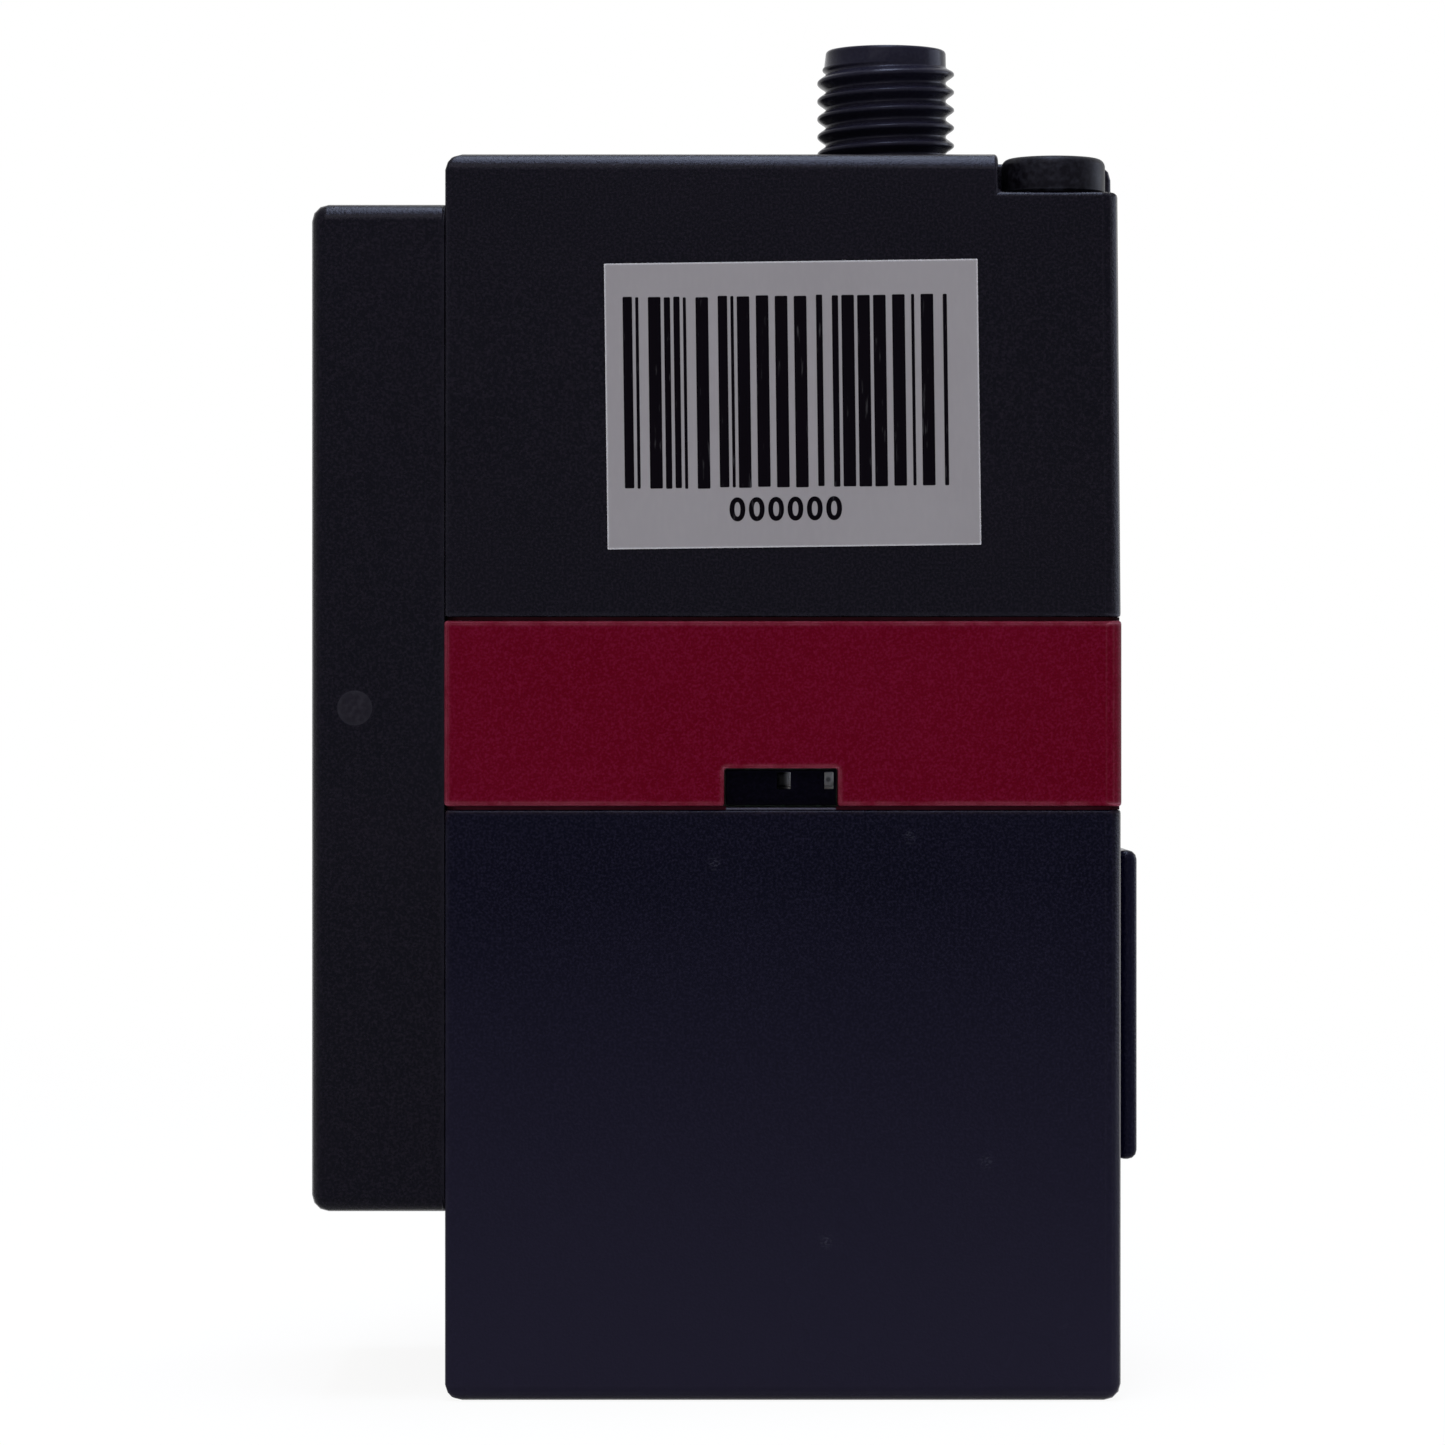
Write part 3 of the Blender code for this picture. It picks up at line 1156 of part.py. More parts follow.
def build_motor_base():
    half_x = MOTOR_PLATE_WIDTH / 2
    half_z = MOTOR_PLATE_HEIGHT / 2
    low = (ROTOR_X - half_x, MOTOR_PLATE_Y, ROTOR_Z - half_z)
    high = (ROTOR_X + half_x, MOTOR_PLATE_Y + MOTOR_PLATE_THICKNESS, ROTOR_Z + half_z)
    motor_plate = box("motor_plate", low, high, "circuit_board")
    way = cylinder("motor_plate_way", (ROTOR_X, MOTOR_PLATE_Y - CUT, ROTOR_Z), "+Y",
                   SLEEVE_RADIUS + BORE_GAP, MOTOR_PLATE_THICKNESS + 2 * CUT)
    cut(motor_plate, way)
    rear_y = CHASSIS_BACK - FIT_GAP
    shoulder = SLEEVE_SHOULDER_Y - SLEEVE_FRONT_Y
    flange = shoulder - SLEEVE_FLANGE
    length = rear_y - SLEEVE_FRONT_Y
    bore = BEARING_RADIUS + SEAT_GAP
    profile = [
        (bore, length), (SLEEVE_RADIUS, length), (SLEEVE_RADIUS, shoulder),
        (SLEEVE_FLANGE_RADIUS, shoulder), (SLEEVE_FLANGE_RADIUS, flange), (SLEEVE_RADIUS, flange),
        (SLEEVE_RADIUS, 0.0), (bore, 0.0),
    ]
    turned("bearing_sleeve", profile, (ROTOR_X, SLEEVE_FRONT_Y, ROTOR_Z), "+Y", "brass", closed=True)
    for place, low_y in (("front", SLEEVE_FRONT_Y), ("rear", rear_y - BEARING_WIDTH)):
        ring(f"bearing_{place}", (ROTOR_X, low_y, ROTOR_Z), "+Y", BEARING_RADIUS,
             SHAFT_RADIUS + SEAT_GAP, BEARING_WIDTH, "steel")
    build_stator()


def build_stator():
    """The stator core on the sleeve, with slots between its poles."""
    item = ring("stator_core", (ROTOR_X, STATOR_Y, ROTOR_Z), "+Y", STATOR_RADIUS,
                SLEEVE_RADIUS + SEAT_GAP, STATOR_LENGTH, "steel")
    for index in range(STATOR_SLOTS):
        turn = Matrix.Rotation(2 * math.pi * index / STATOR_SLOTS, 4, "Y")
        slot = box(
            f"stator_slot_{index + 1}",
            (STATOR_RADIUS - STATOR_SLOT_DEPTH, -CUT, -STATOR_SLOT_WIDTH / 2),
            (STATOR_RADIUS + CUT, STATOR_LENGTH + CUT, STATOR_SLOT_WIDTH / 2),
        )
        place = Matrix.Translation((ROTOR_X, STATOR_Y, ROTOR_Z))
        slot.matrix_world = place @ turn @ slot.matrix_basis
        cut(item, slot)


def build_rotor():
    """The spinning pieces, held by an empty on the rotor's axis."""
    axis = bpy.data.objects.new("rotor_axis", None)
    axis.location = (ROTOR_X, 0.0, ROTOR_Z)
    PARTS.objects.link(axis)
    bore = SHAFT_RADIUS + SEAT_GAP
    cup_inner = CUP_RADIUS - CUP_WALL
    skirt = STATOR_Y + STATOR_LENGTH - CUP_Y
    cup_profile = [
        (cup_inner, skirt), (CUP_RADIUS, skirt), (CUP_RADIUS, 0.0), (bore, 0.0), (bore, CUP_FLOOR),
        (cup_inner, CUP_FLOOR),
    ]
    cup = turned("rotor_cup", cup_profile, (0.0, CUP_Y, 0.0), "+Y", "steel", closed=True)
    mirror = cylinder("polygon_mirror", (0.0, POLYGON_Y, 0.0), "+Y", POLYGON_RADIUS,
                      POLYGON_THICKNESS, "mirror", steps=POLYGON_SIDES)
    mirror.rotation_euler.rotate_axis("Z", math.pi / POLYGON_SIDES)
    way = cylinder("polygon_way", (ROTOR_X, POLYGON_Y - CUT, ROTOR_Z), "+Y", bore,
                   POLYGON_THICKNESS + 2 * CUT)
    cut(mirror, way)
    clamp = ring("polygon_clamp", (0.0, CLAMP_Y, 0.0), "+Y", CLAMP_RADIUS, bore, CLAMP_THICKNESS,
                 "steel")
    start_y = CLAMP_Y - SHAFT_NOSE
    shaft = cylinder("motor_shaft", (0.0, start_y, 0.0), "+Y", SHAFT_RADIUS, CHASSIS_BACK - start_y,
                     "steel")
    for piece in (cup, mirror, clamp, shaft):
        piece.parent = axis


# Laser and receiver

def build_laser():
    base = (LASER_FRONT_X, BEAM_Y, LASER_Z)
    lens_seat = LENS_RADIUS + FIT_GAP
    lens_end = LENS_RECESS + LENS_THICKNESS + SEAT_GAP
    diode_seat = DIODE_FLANGE_RADIUS + FIT_GAP
    diode_end = BARREL_LENGTH - DIODE_FLANGE - FIT_GAP
    profile = [
        (diode_seat, BARREL_LENGTH), (BARREL_RADIUS, BARREL_LENGTH), (BARREL_RADIUS, 0.0),
        (lens_seat, 0.0), (lens_seat, lens_end), (BEAM_BORE, lens_end),
        (BEAM_BORE, diode_end), (diode_seat, diode_end),
    ]
    turned("laser_barrel", profile, base, "+X", "brass", closed=True)
    lens_back = lens_end - SEAT_GAP
    lens_profile = [(0.0, lens_back), (LENS_RADIUS, lens_back), (LENS_RADIUS, LENS_RECESS)]
    for step in range(1, DOME_STEPS + 1):
        share = 1.0 - step / DOME_STEPS
        depth = LENS_RECESS - LENS_CROWN * (1.0 - share * share)
        lens_profile.append((LENS_RADIUS * share, depth))
    turned("collimator_lens", lens_profile, base, "+X", "clear_plastic", steps=SMALL_STEPS)
    flange_low = diode_end + SEAT_GAP
    flange_high = flange_low + DIODE_FLANGE
    diode_profile = [
        (0.0, flange_high + DIODE_TAIL), (DIODE_TAIL_RADIUS, flange_high + DIODE_TAIL),
        (DIODE_TAIL_RADIUS, flange_high), (DIODE_FLANGE_RADIUS, flange_high),
        (DIODE_FLANGE_RADIUS, flange_low), (DIODE_CAN_RADIUS, flange_low),
        (DIODE_CAN_RADIUS, flange_low - DIODE_CAN), (0.0, flange_low - DIODE_CAN),
    ]
    turned("laser_diode", diode_profile, base, "+X", "gold", steps=SMALL_STEPS)


def build_receiver():
    half = MIRROR_SIZE / 2
    mirror = box("fold_mirror", (-half, -half, -MIRROR_THICKNESS), (half, half, 0.0), "mirror")
    mirror.matrix_world = beam_frame() @ mirror.matrix_basis
    lens_base = (BEAM_X, BEAM_Y, COLLECTOR_Z + COLLECTOR_LEDGE + SEAT_GAP)
    profile = []
    for step in range(DOME_STEPS + 1):
        share = step / DOME_STEPS
        height = COLLECTOR_EDGE + COLLECTOR_CROWN * (1.0 - share * share)
        profile.append((COLLECTOR_RADIUS * share, height))
    profile += [(COLLECTOR_RADIUS, 0.0), (0.0, 0.0)]
    turned("collector_lens", profile, lens_base, "+Z", "clear_plastic")
    low = (-CHASSIS_X, -RECEIVER_WIDTH / 2, RECEIVER_Z)
    box("receiver_board", low, (receiver_end_x(), RECEIVER_WIDTH / 2, RECEIVER_TOP), "circuit_board")
    level = RECEIVER_TOP
    for name, size, finish in (
        ("photodiode", PHOTODIODE_SIZE, "component"), ("optical_filter", FILTER_SIZE, "window_glass"),
    ):
        low = (BEAM_X - size[0] / 2, BEAM_Y - size[1] / 2, level + SEAT_GAP)
        high = (BEAM_X + size[0] / 2, BEAM_Y + size[1] / 2, level + SEAT_GAP + size[2])
        box(name, low, high, finish)
        level = high[2]


build_lower_housing()
build_band()
build_upper_housing()
build_seam_gaskets()
build_label()
build_housing_screws()
build_optics_hood()
build_window()
build_hood_fasteners()
build_rear_pad()
build_connector()
build_status()
build_main_board()
build_flex()
build_chassis()
build_motor_base()
build_rotor()
build_laser()
build_receiver()
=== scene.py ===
"""Looks of the fixed-mount barcode reader: finishes, thread, fine edges, label, light and camera."""

import json
import math
import random

import bmesh
import bpy
from mathutils import Matrix, Vector


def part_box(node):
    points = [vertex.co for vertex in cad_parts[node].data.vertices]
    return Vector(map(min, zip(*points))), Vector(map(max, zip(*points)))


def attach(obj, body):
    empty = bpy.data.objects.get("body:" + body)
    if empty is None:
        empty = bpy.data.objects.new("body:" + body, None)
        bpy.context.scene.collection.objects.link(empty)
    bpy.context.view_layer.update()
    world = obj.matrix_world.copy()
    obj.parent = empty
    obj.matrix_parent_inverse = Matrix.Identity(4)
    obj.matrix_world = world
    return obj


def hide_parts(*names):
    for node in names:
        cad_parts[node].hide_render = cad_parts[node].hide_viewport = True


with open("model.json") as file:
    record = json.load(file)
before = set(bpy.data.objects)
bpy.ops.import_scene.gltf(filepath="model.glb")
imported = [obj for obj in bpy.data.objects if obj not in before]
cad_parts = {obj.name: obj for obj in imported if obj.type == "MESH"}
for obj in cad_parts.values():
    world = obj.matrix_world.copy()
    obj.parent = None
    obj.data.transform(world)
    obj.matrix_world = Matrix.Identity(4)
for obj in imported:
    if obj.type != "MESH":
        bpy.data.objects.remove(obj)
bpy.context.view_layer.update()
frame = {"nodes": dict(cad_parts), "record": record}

LOWER_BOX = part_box("lower_housing")
UPPER_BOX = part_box("upper_housing")
HOOD_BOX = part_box("optics_hood")
BAND_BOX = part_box("accent_band")
BEZEL_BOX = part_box("status_bezel")
HOOD_SCREW_AXES = [sum(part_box(f"hood_screw_{number}"), Vector()) / 2 for number in range(1, 5)]

# Camera: square frame, level with the middle of the body
CAMERA_PLACE = (-0.00326, -0.335, 0.03643)
CAMERA_LENS = 148.66
CAMERA_SENSOR = 36.0

# Floor and backdrop
FLOOR_HALF = 1.5
BACKDROP_Y = 1.2
BACKDROP_TOP = 0.32
SHADOW_NEAR = 0.06
SHADOW_FAR = 0.40
WHITE_NEAR = 0.92
FLOOR_ROUGHNESS = 0.9

# Light: name, place, size in metres, power in watts, colour
LIGHT_AIM = (0.0, 0.0, 0.04)
AREA_LIGHTS = (
    ("top_strip", (0.0, -0.05, 0.60), (0.14, 0.52), 2.7, (0.66, 0.77, 1.0)),
    ("right_rim", (0.70, 0.25, 0.15), (0.5, 0.5), 2.2, (0.74, 0.81, 1.0)),
    ("front_fill", (-0.15, -0.6, 0.55), (0.5, 0.5), 2.30, (1.0, 0.955, 0.89)),
)
SKY_PLACE = (0.03, -0.02, 0.55)
SKY_ANGLE = math.radians(40)
SKY_STRENGTH = 1.15
SKY_COLOUR = (0.80, 0.86, 1.0)
WORLD_LIGHT = 0.30

# Softened edges
EDGE_WIDTH = 0.00011
POCKET_EDGE = 0.00026
NOTCH_EDGE = 0.00014
SEAM_EDGE = 0.00003
WIDEST_EDGE = 0.0003
JOINT_REACH = 0.0003
COUNTERBORE_REACH = 0.0026
POCKET_REACH_X = 0.0069
POCKET_REACH_Z = 0.0023
EDGE_STEPS = 3
SHARP_ANGLE = math.radians(50)
FLAT_ANGLE = math.radians(0.4)
WELD = 0.0000005
SLIVER = 0.000004
UNIT_WELD = 0.0001
FLAT_WEIGHT = 90
NODE_CORNER = math.radians(40)

# Connector thread
THREAD_PITCH = 0.001
THREAD_CREST = 0.00384
THREAD_ROOT = 0.00338
THREAD_PHASE = 0.00079
THREAD_END_Z = 0.07325
THREAD_FADE = 0.0003
CREST_SHARE = 0.10
ROOT_SHARE = 0.92
ROUND_SHARE = 0.65
THREAD_ROWS_PER_TURN = 32
THREAD_STEPS = 96
NOSE_RADIUS = 0.00337
NOSE_Z = 0.0732
RIM_ROUND = 0.00022
RIM_STEPS = 4
SEAT_GAP = 0.00005
FIT_GAP = 0.0001
SOCKET_RADIUS = 0.0029

# Threaded inserts in the mounting pad
INSERT_PITCH = 0.0007
INSERT_THREAD_DEPTH = 0.00035
INSERT_ROWS_PER_TURN = 12
INSERT_STEPS = 64
INSERT_BORE = 0.00165

# Beads in the joints
HOOD_BEAD_INSET = 0.000006
SEAM_BEAD_INSET = 0.00006
BEAD_DEPTH = 0.0004
BEAD_UNDER = 0.00009
BEAD_CORNER = 0.0009
BEAD_ROUND = 0.000012
FILM_GAP = 0.000005
SILL_HEIGHT = 0.00011
SILL_ROUND = 0.00004
LENGTH_ALONG_X = Matrix(((0, 0, 1, 0), (1, 0, 0, 0), (0, 1, 0, 0), (0, 0, 0, 1)))

# Status lamps
LAMP_FRAME = 0.00011
LAMP_PIT = 0.00012
LAMP_CORNER = math.radians(30)
LAMP_EDGE_STEPS = 2
RESIN_CUTS = 6
RESIN_RIM = 0.25
RESIN_BULGE = 0.45
LIT_STRIP = 0.00008
LIT_RAMP = 0.0005
DIE_X = 0.00244
DIE_Z = 0.03336
DIE_SIZE = 0.00014
DIE_CLEAR = (0.6 * DIE_SIZE, 1.3 * DIE_SIZE)
BEZEL_EDGE = 0.00004

# Plug in the hood's side
PLUG_RADIUS = 0.00081
PLUG_CAP = 0.00094
PLUG_FLAT = 0.75
PLUG_NECK = 0.00014
PLUG_RISE = 0.000012
PLUG_STEPS = 40

# Screws
HOUSING_HEAD = 0.00195
HOUSING_SHANK = 0.0015
HOOD_HEAD = 0.0013
HOOD_SHANK = 0.001
HEAD_CROWN = 0.23
HEAD_CHAMFER = 0.08
HEAD_EDGE = 0.02
HEAD_EDGE_STEPS = 2
HEAD_CORNER = math.radians(40)
HEAD_STEPS = 64
SHANK_STEPS = 24
DOME_STEPS = 10
RECESS_REACH = 0.58
RECESS_HALF_WIDTH = 0.115
RECESS_DEPTH = 0.55

# Label and its print
LABEL_CORNER = 0.00004
LABEL_THICKNESS = 0.00009
LABEL_EDGE = 0.00003
LABEL_EDGE_STEPS = 2
LABEL_EDGE_ANGLE = math.radians(60)
OUTLINE_STEPS = 5
BAR_SEED = 23
BAR_STEPS = 3
BAR_WIDTHS = (1, 2, 3, 4, 4)
GAP_WIDTHS = (1, 1, 2, 3)
BAR_RAGGED = 0.00004
BAR_CORNER = 0.00006
PRINT_RISE = 0.000006
BAR_MODULE = 0.00017
BARS_LEFT = 0.00097
BARS_RIGHT = 0.01836
BARS_TOP = 0.00183
BARS_BOTTOM = 0.0121
DIGITS = "000000"
DIGITS_HEIGHT = 0.0017
DIGITS_SPACING = 1.22
DIGITS_BOLD = 0.00005
DIGITS_MIDDLE = 0.00958
DIGITS_BASE = 0.01385

# Finish: sizes in metres, shares, and the range that noise keeps to
PLASTIC_GRAIN = 0.00014
PLASTIC_CLOUD = 0.006
CLOUD_SHARE = 0.05
GRAIN_RANGE = (0.44, 0.68)
GRAIN_BUMP = 0.3
EDGE_RANGE = (0.985, 0.88)
EDGE_REACH = 0.0004
SEAM_REACH = 0.0005
WEAR_SIZE = 0.0011
WEAR_RANGE = (0.25, 0.55)
EDGE_WEAR_AND_HIGHLIGHT_SHARE = 0.75
WEAR_GLOSS = 0.06
MARK_SIZE = 0.0005
MARK_SHARE = 0.2
BELOW_LIGHT_SHARE = 0.85
NOISE_CORE = (0.35, 0.65)
NOISE_SPREAD = (0.3, 0.7)
FINE_BUMP = 0.00003
TOOL_LINES = 0.00012
TOOL_LINE_BUMP = 0.00002
TARNISH_SIZE = 0.0013
TARNISH_DULL = 0.72
METAL_EDGE = 0.0002
OXIDE_CLOUD = 0.002
OXIDE_EDGE = 0.00018
OXIDE_WEAR = 0.6
RUBBER_GRAIN = 0.00022
RUBBER_BUMP = 0.00006
RUBBER_DUST = 0.0016
SMEAR_SIZE = 0.005
FLOW_SIZE = 0.002
TRACK_SCALE = 260.0
TRACK_WIDTH = 0.035
WEAVE_SIZE = 0.0004
FIBRE_SIZE = 0.0003
SHADE_SIZE = 0.006
PAPER_EDGE = 0.00016
VOID_SIZE = 0.0002
VOID_SHARE = 0.3
PACKAGE_CLOUD = 0.0003


# Shader helpers

class Look:
    """A material with one main shader, and short calls for the nodes that feed it."""

    def __init__(self, name):
        self.material = bpy.data.materials.new(name)
        self.material.use_nodes = True
        self.tree = self.material.node_tree
        self.shader = self.tree.nodes["Principled BSDF"]
        self.place = self.node("ShaderNodeTexCoord").outputs["Object"]

    def node(self, kind, **values):
        node = self.tree.nodes.new(kind)
        for key, value in values.items():
            setattr(node, key, value)
        return node

    def link(self, source, target):
        self.tree.links.new(source, target)

    def feed(self, socket, value):
        """Set a socket to a number, a colour or another node's output."""
        if isinstance(value, bpy.types.NodeSocket):
            self.link(value, socket)
        else:
            socket.default_value = value

    def set(self, name, value):
        self.feed(self.shader.inputs[name], value)

    def noise(self, size, detail=2.0, stretch=(1.0, 1.0, 1.0)):
        """Noise with features of about the given size in metres."""
        vector = self.place
        if stretch != (1.0, 1.0, 1.0):
            mapping = self.node("ShaderNodeMapping")
            mapping.inputs["Scale"].default_value = stretch
            self.link(self.place, mapping.inputs["Vector"])
            vector = mapping.outputs["Vector"]
        texture = self.node("ShaderNodeTexNoise")
        self.link(vector, texture.inputs["Vector"])
        texture.inputs["Scale"].default_value = 1.0 / size
        texture.inputs["Detail"].default_value = detail
        return texture.outputs["Fac"]

    def remap(self, value, low, high, to_low=0.0, to_high=1.0):
        node = self.node("ShaderNodeMapRange")
        self.link(value, node.inputs["Value"])
        node.inputs["From Min"].default_value = low
        node.inputs["From Max"].default_value = high
        node.inputs["To Min"].default_value = to_low
        node.inputs["To Max"].default_value = to_high
        return node.outputs["Result"]

    def math(self, operation, first, second):
        node = self.node("ShaderNodeMath", operation=operation)
        self.feed(node.inputs[0], first)
        self.feed(node.inputs[1], second)
        return node.outputs["Value"]

    def blend(self, factor, first, second):
        node = self.node("ShaderNodeMix", data_type="RGBA")
        self.feed(node.inputs["Factor"], factor)
        colours = [socket for socket in node.inputs if socket.type == "RGBA"]
        self.feed(colours[0], first)
        self.feed(colours[1], second)
        return [socket for socket in node.outputs if socket.type == "RGBA"][0]

    def edges(self, radius):
        """Mask of the outer edges: 0 on flat faces, 1 on the tightest corners."""
        bevel = self.node("ShaderNodeBevel", samples=6)
        bevel.inputs["Radius"].default_value = radius
        flat = self.node("ShaderNodeNewGeometry").outputs["True Normal"]
        dot = self.node("ShaderNodeVectorMath", operation="DOT_PRODUCT")
        self.link(bevel.outputs["Normal"], dot.inputs[0])
        self.link(flat, dot.inputs[1])
        return self.remap(dot.outputs["Value"], *EDGE_RANGE)

    def along(self, axis):
        """The place along X, Y or Z."""
        node = self.node("ShaderNodeSeparateXYZ")
        self.link(self.place, node.inputs["Vector"])
        return node.outputs[axis]

    def distance(self, point):
        node = self.node("ShaderNodeVectorMath", operation="DISTANCE")
        self.link(self.place, node.inputs[0])
        node.inputs[1].default_value = point
        return node.outputs["Value"]

    def spots(self, places, size):
        """Mask of small ragged marks round given points."""
        total = None
        ragged = self.remap(self.noise(size / 2.5, 6.0, (1.0, 1.0, 1.7)), 0.50, 0.60)
        for place in places:
            near = self.remap(self.distance(place), size, 0.0)
            total = near if total is None else self.math("MAXIMUM", total, near)
        return self.math("MULTIPLY", total, ragged)

    def bump(self, height, strength, distance):
        node = self.node("ShaderNodeBump")
        node.inputs["Strength"].default_value = strength
        node.inputs["Distance"].default_value = distance
        self.link(height, node.inputs["Height"])
        self.link(node.outputs["Normal"], self.shader.inputs["Normal"])


def rgb(red, green, blue):
    return (red, green, blue, 1.0)


FLOOR_COLOUR = rgb(0.84, 0.82, 0.78)
COOL_TINT = rgb(0.80, 0.81, 1.0)
SCUFF = rgb(0.10, 0.10, 0.13)
# Tone of the painted light from below.
BELOW_LIGHT_TONE = rgb(0.0125, 0.0108, 0.0225)


def moulded(name, colour, worn, edge, roughness, specular, grain=PLASTIC_GRAIN, marks=(), painted_light_to=0.0,
            edge_reach=EDGE_REACH, speckle=0.7, seam=None):
    """Moulded plastic: spark-eroded grain, cloudy tone, paler edges that are partly rubbed wear and partly a
    painted highlight, and a few scuffs. Painted light from below may make it paler towards the bottom.
    """
    look = Look(name)
    fine = look.noise(grain, 4.0)
    cloud = look.remap(look.noise(PLASTIC_CLOUD, 3.0), *NOISE_CORE)
    tone = look.blend(look.remap(cloud, 0.0, 1.0, 0.0, CLOUD_SHARE), colour, worn)
    tone = look.blend(look.remap(fine, *GRAIN_RANGE, 0.0, speckle), tone, worn)
    # Painted light from below: the tone turns paler and bluer towards the bottom, up to the given height.
    if painted_light_to:
        tone = look.blend(look.remap(look.along("Z"), painted_light_to, 0.0, 0.0, BELOW_LIGHT_SHARE), tone, BELOW_LIGHT_TONE)
    # Near the seam the edge tone, partly wear and partly painted highlight, turns warmer.
    if seam:
        top, seam_edge = seam
        near = look.remap(look.along("Z"), top - 2.0 * SEAM_REACH, top - SEAM_REACH)
        edge = look.blend(near, edge, seam_edge)
    # Edge tone: partly rubbed wear, partly a painted highlight where the edges catch the light.
    patchy = look.remap(look.noise(WEAR_SIZE, 4.0), *WEAR_RANGE)
    patchy_edges = look.math("MULTIPLY", look.edges(edge_reach), patchy)
    tone = look.blend(look.math("MULTIPLY", patchy_edges, EDGE_WEAR_AND_HIGHLIGHT_SHARE), tone, edge)
    if marks:
        scuff = look.spots(marks, MARK_SIZE)
        tone = look.blend(look.math("MULTIPLY", scuff, MARK_SHARE), tone, SCUFF)
    look.set("Base Color", tone)
    satin = look.remap(cloud, 0.0, 1.0, roughness - 0.015, roughness + 0.02)
    look.set("Roughness", look.math("SUBTRACT", satin, look.math("MULTIPLY", patchy_edges, WEAR_GLOSS)))
    look.set("Specular IOR Level", specular)
    look.set("Specular Tint", COOL_TINT)
    look.bump(fine, GRAIN_BUMP, grain / 2)
    return look.material


def metal(name, colour, roughness, bright=1.12):
    """Machined metal: fine tool lines, soft tarnish and brighter edges."""
    look = Look(name)
    lines = look.noise(TOOL_LINES, 2.0)
    tarnish = look.remap(look.noise(TARNISH_SIZE, 3.0), 0.35, 0.7)
    dull = tuple(channel * TARNISH_DULL for channel in colour[:3]) + (1.0,)
    shiny = tuple(min(channel * bright, 1.0) for channel in colour[:3]) + (1.0,)
    tone = look.blend(look.remap(tarnish, 0.0, 1.0, 0.0, 0.5), colour, dull)
    look.set("Base Color", look.blend(look.edges(METAL_EDGE), tone, shiny))
    look.set("Roughness", look.remap(lines, *NOISE_SPREAD, roughness - 0.06, roughness + 0.08))
    look.set("Metallic", 1.0)
    look.bump(lines, 0.12, TOOL_LINE_BUMP)
    return look.material


def blackened(name, colour, roughness, specular, grain=0.0001, mottle=0.2):
    """Black-oxide steel or hard black moulding: dark satin, with rubbed bright edges."""
    look = Look(name)
    fine = look.noise(grain, 3.0)
    cloud = look.noise(OXIDE_CLOUD, 3.0)
    patchy_edges = look.math("MULTIPLY", look.edges(OXIDE_EDGE), look.remap(cloud, 0.3, 0.65))
    worn = rgb(0.028, 0.028, 0.038)
    tone = look.blend(look.remap(fine, 0.4, 0.8, 0.0, mottle), colour, worn)
    look.set("Base Color", look.blend(look.math("MULTIPLY", patchy_edges, OXIDE_WEAR), tone, worn))
    look.set("Roughness", look.remap(cloud, *NOISE_SPREAD, roughness - 0.05, roughness + 0.06))
    look.set("Specular IOR Level", specular)
    look.set("Specular Tint", COOL_TINT)
    look.bump(fine, 0.12, FINE_BUMP)
    return look.material


def rubber(name, colour, dusty):
    look = Look(name)
    fine = look.noise(RUBBER_GRAIN, 3.0)
    dust = look.remap(look.noise(RUBBER_DUST, 4.0), 0.5, 0.75)
    look.set("Base Color", look.blend(dust, colour, dusty))
    look.set("Roughness", look.remap(fine, *NOISE_SPREAD, 0.72, 0.88))
    look.set("Specular IOR Level", 0.04)
    look.bump(fine, 0.25, RUBBER_BUMP)
    return look.material


def filter_glass(name, colour, smear):
    """Deep coloured glass with a faint film of handling smears."""
    look = Look(name)
    film = look.remap(look.noise(SMEAR_SIZE, 5.0, (1.0, 0.5, 2.0)), 0.48, 0.75)
    look.set("Base Color", look.blend(film, colour, smear))
    look.set("Roughness", look.remap(film, 0.0, 1.0, 0.02, 0.12))
    look.set("Transmission Weight", 0.94)
    look.set("Specular IOR Level", 0.25)
    look.set("IOR", 1.5)
    return look.material


def clear_moulding(name, colour, clear):
    look = Look(name)
    flow = look.noise(FLOW_SIZE, 3.0, (1.0, 1.0, 0.3))
    look.set("Base Color", look.blend(flow, colour, rgb(0.9, 0.9, 0.92)))
    look.set("Roughness", look.remap(flow, *NOISE_SPREAD, 0.05, 0.14))
    look.set("Transmission Weight", clear)
    look.set("IOR", 1.49)
    return look.material


def circuit_board(name):
    """Solder mask over copper tracks that show as slightly lighter lines."""
    look = Look(name)
    brick = look.node("ShaderNodeTexBrick", offset=0.37, squash=0.8)
    look.link(look.place, brick.inputs["Vector"])
    brick.inputs["Scale"].default_value = TRACK_SCALE
    brick.inputs["Mortar Size"].default_value = TRACK_WIDTH
    brick.inputs["Color1"].default_value = rgb(0.006, 0.055, 0.022)
    brick.inputs["Color2"].default_value = rgb(0.008, 0.066, 0.028)
    brick.inputs["Mortar"].default_value = rgb(0.022, 0.13, 0.05)
    weave = look.noise(WEAVE_SIZE, 2.0)
    look.set("Base Color", look.blend(look.remap(weave, 0.4, 0.9, 0.0, 0.4), brick.outputs["Color"],
                                      rgb(0.003, 0.03, 0.012)))
    look.set("Roughness", look.remap(weave, *NOISE_SPREAD, 0.3, 0.45))
    look.bump(brick.outputs["Fac"], 0.2, FINE_BUMP)
    return look.material


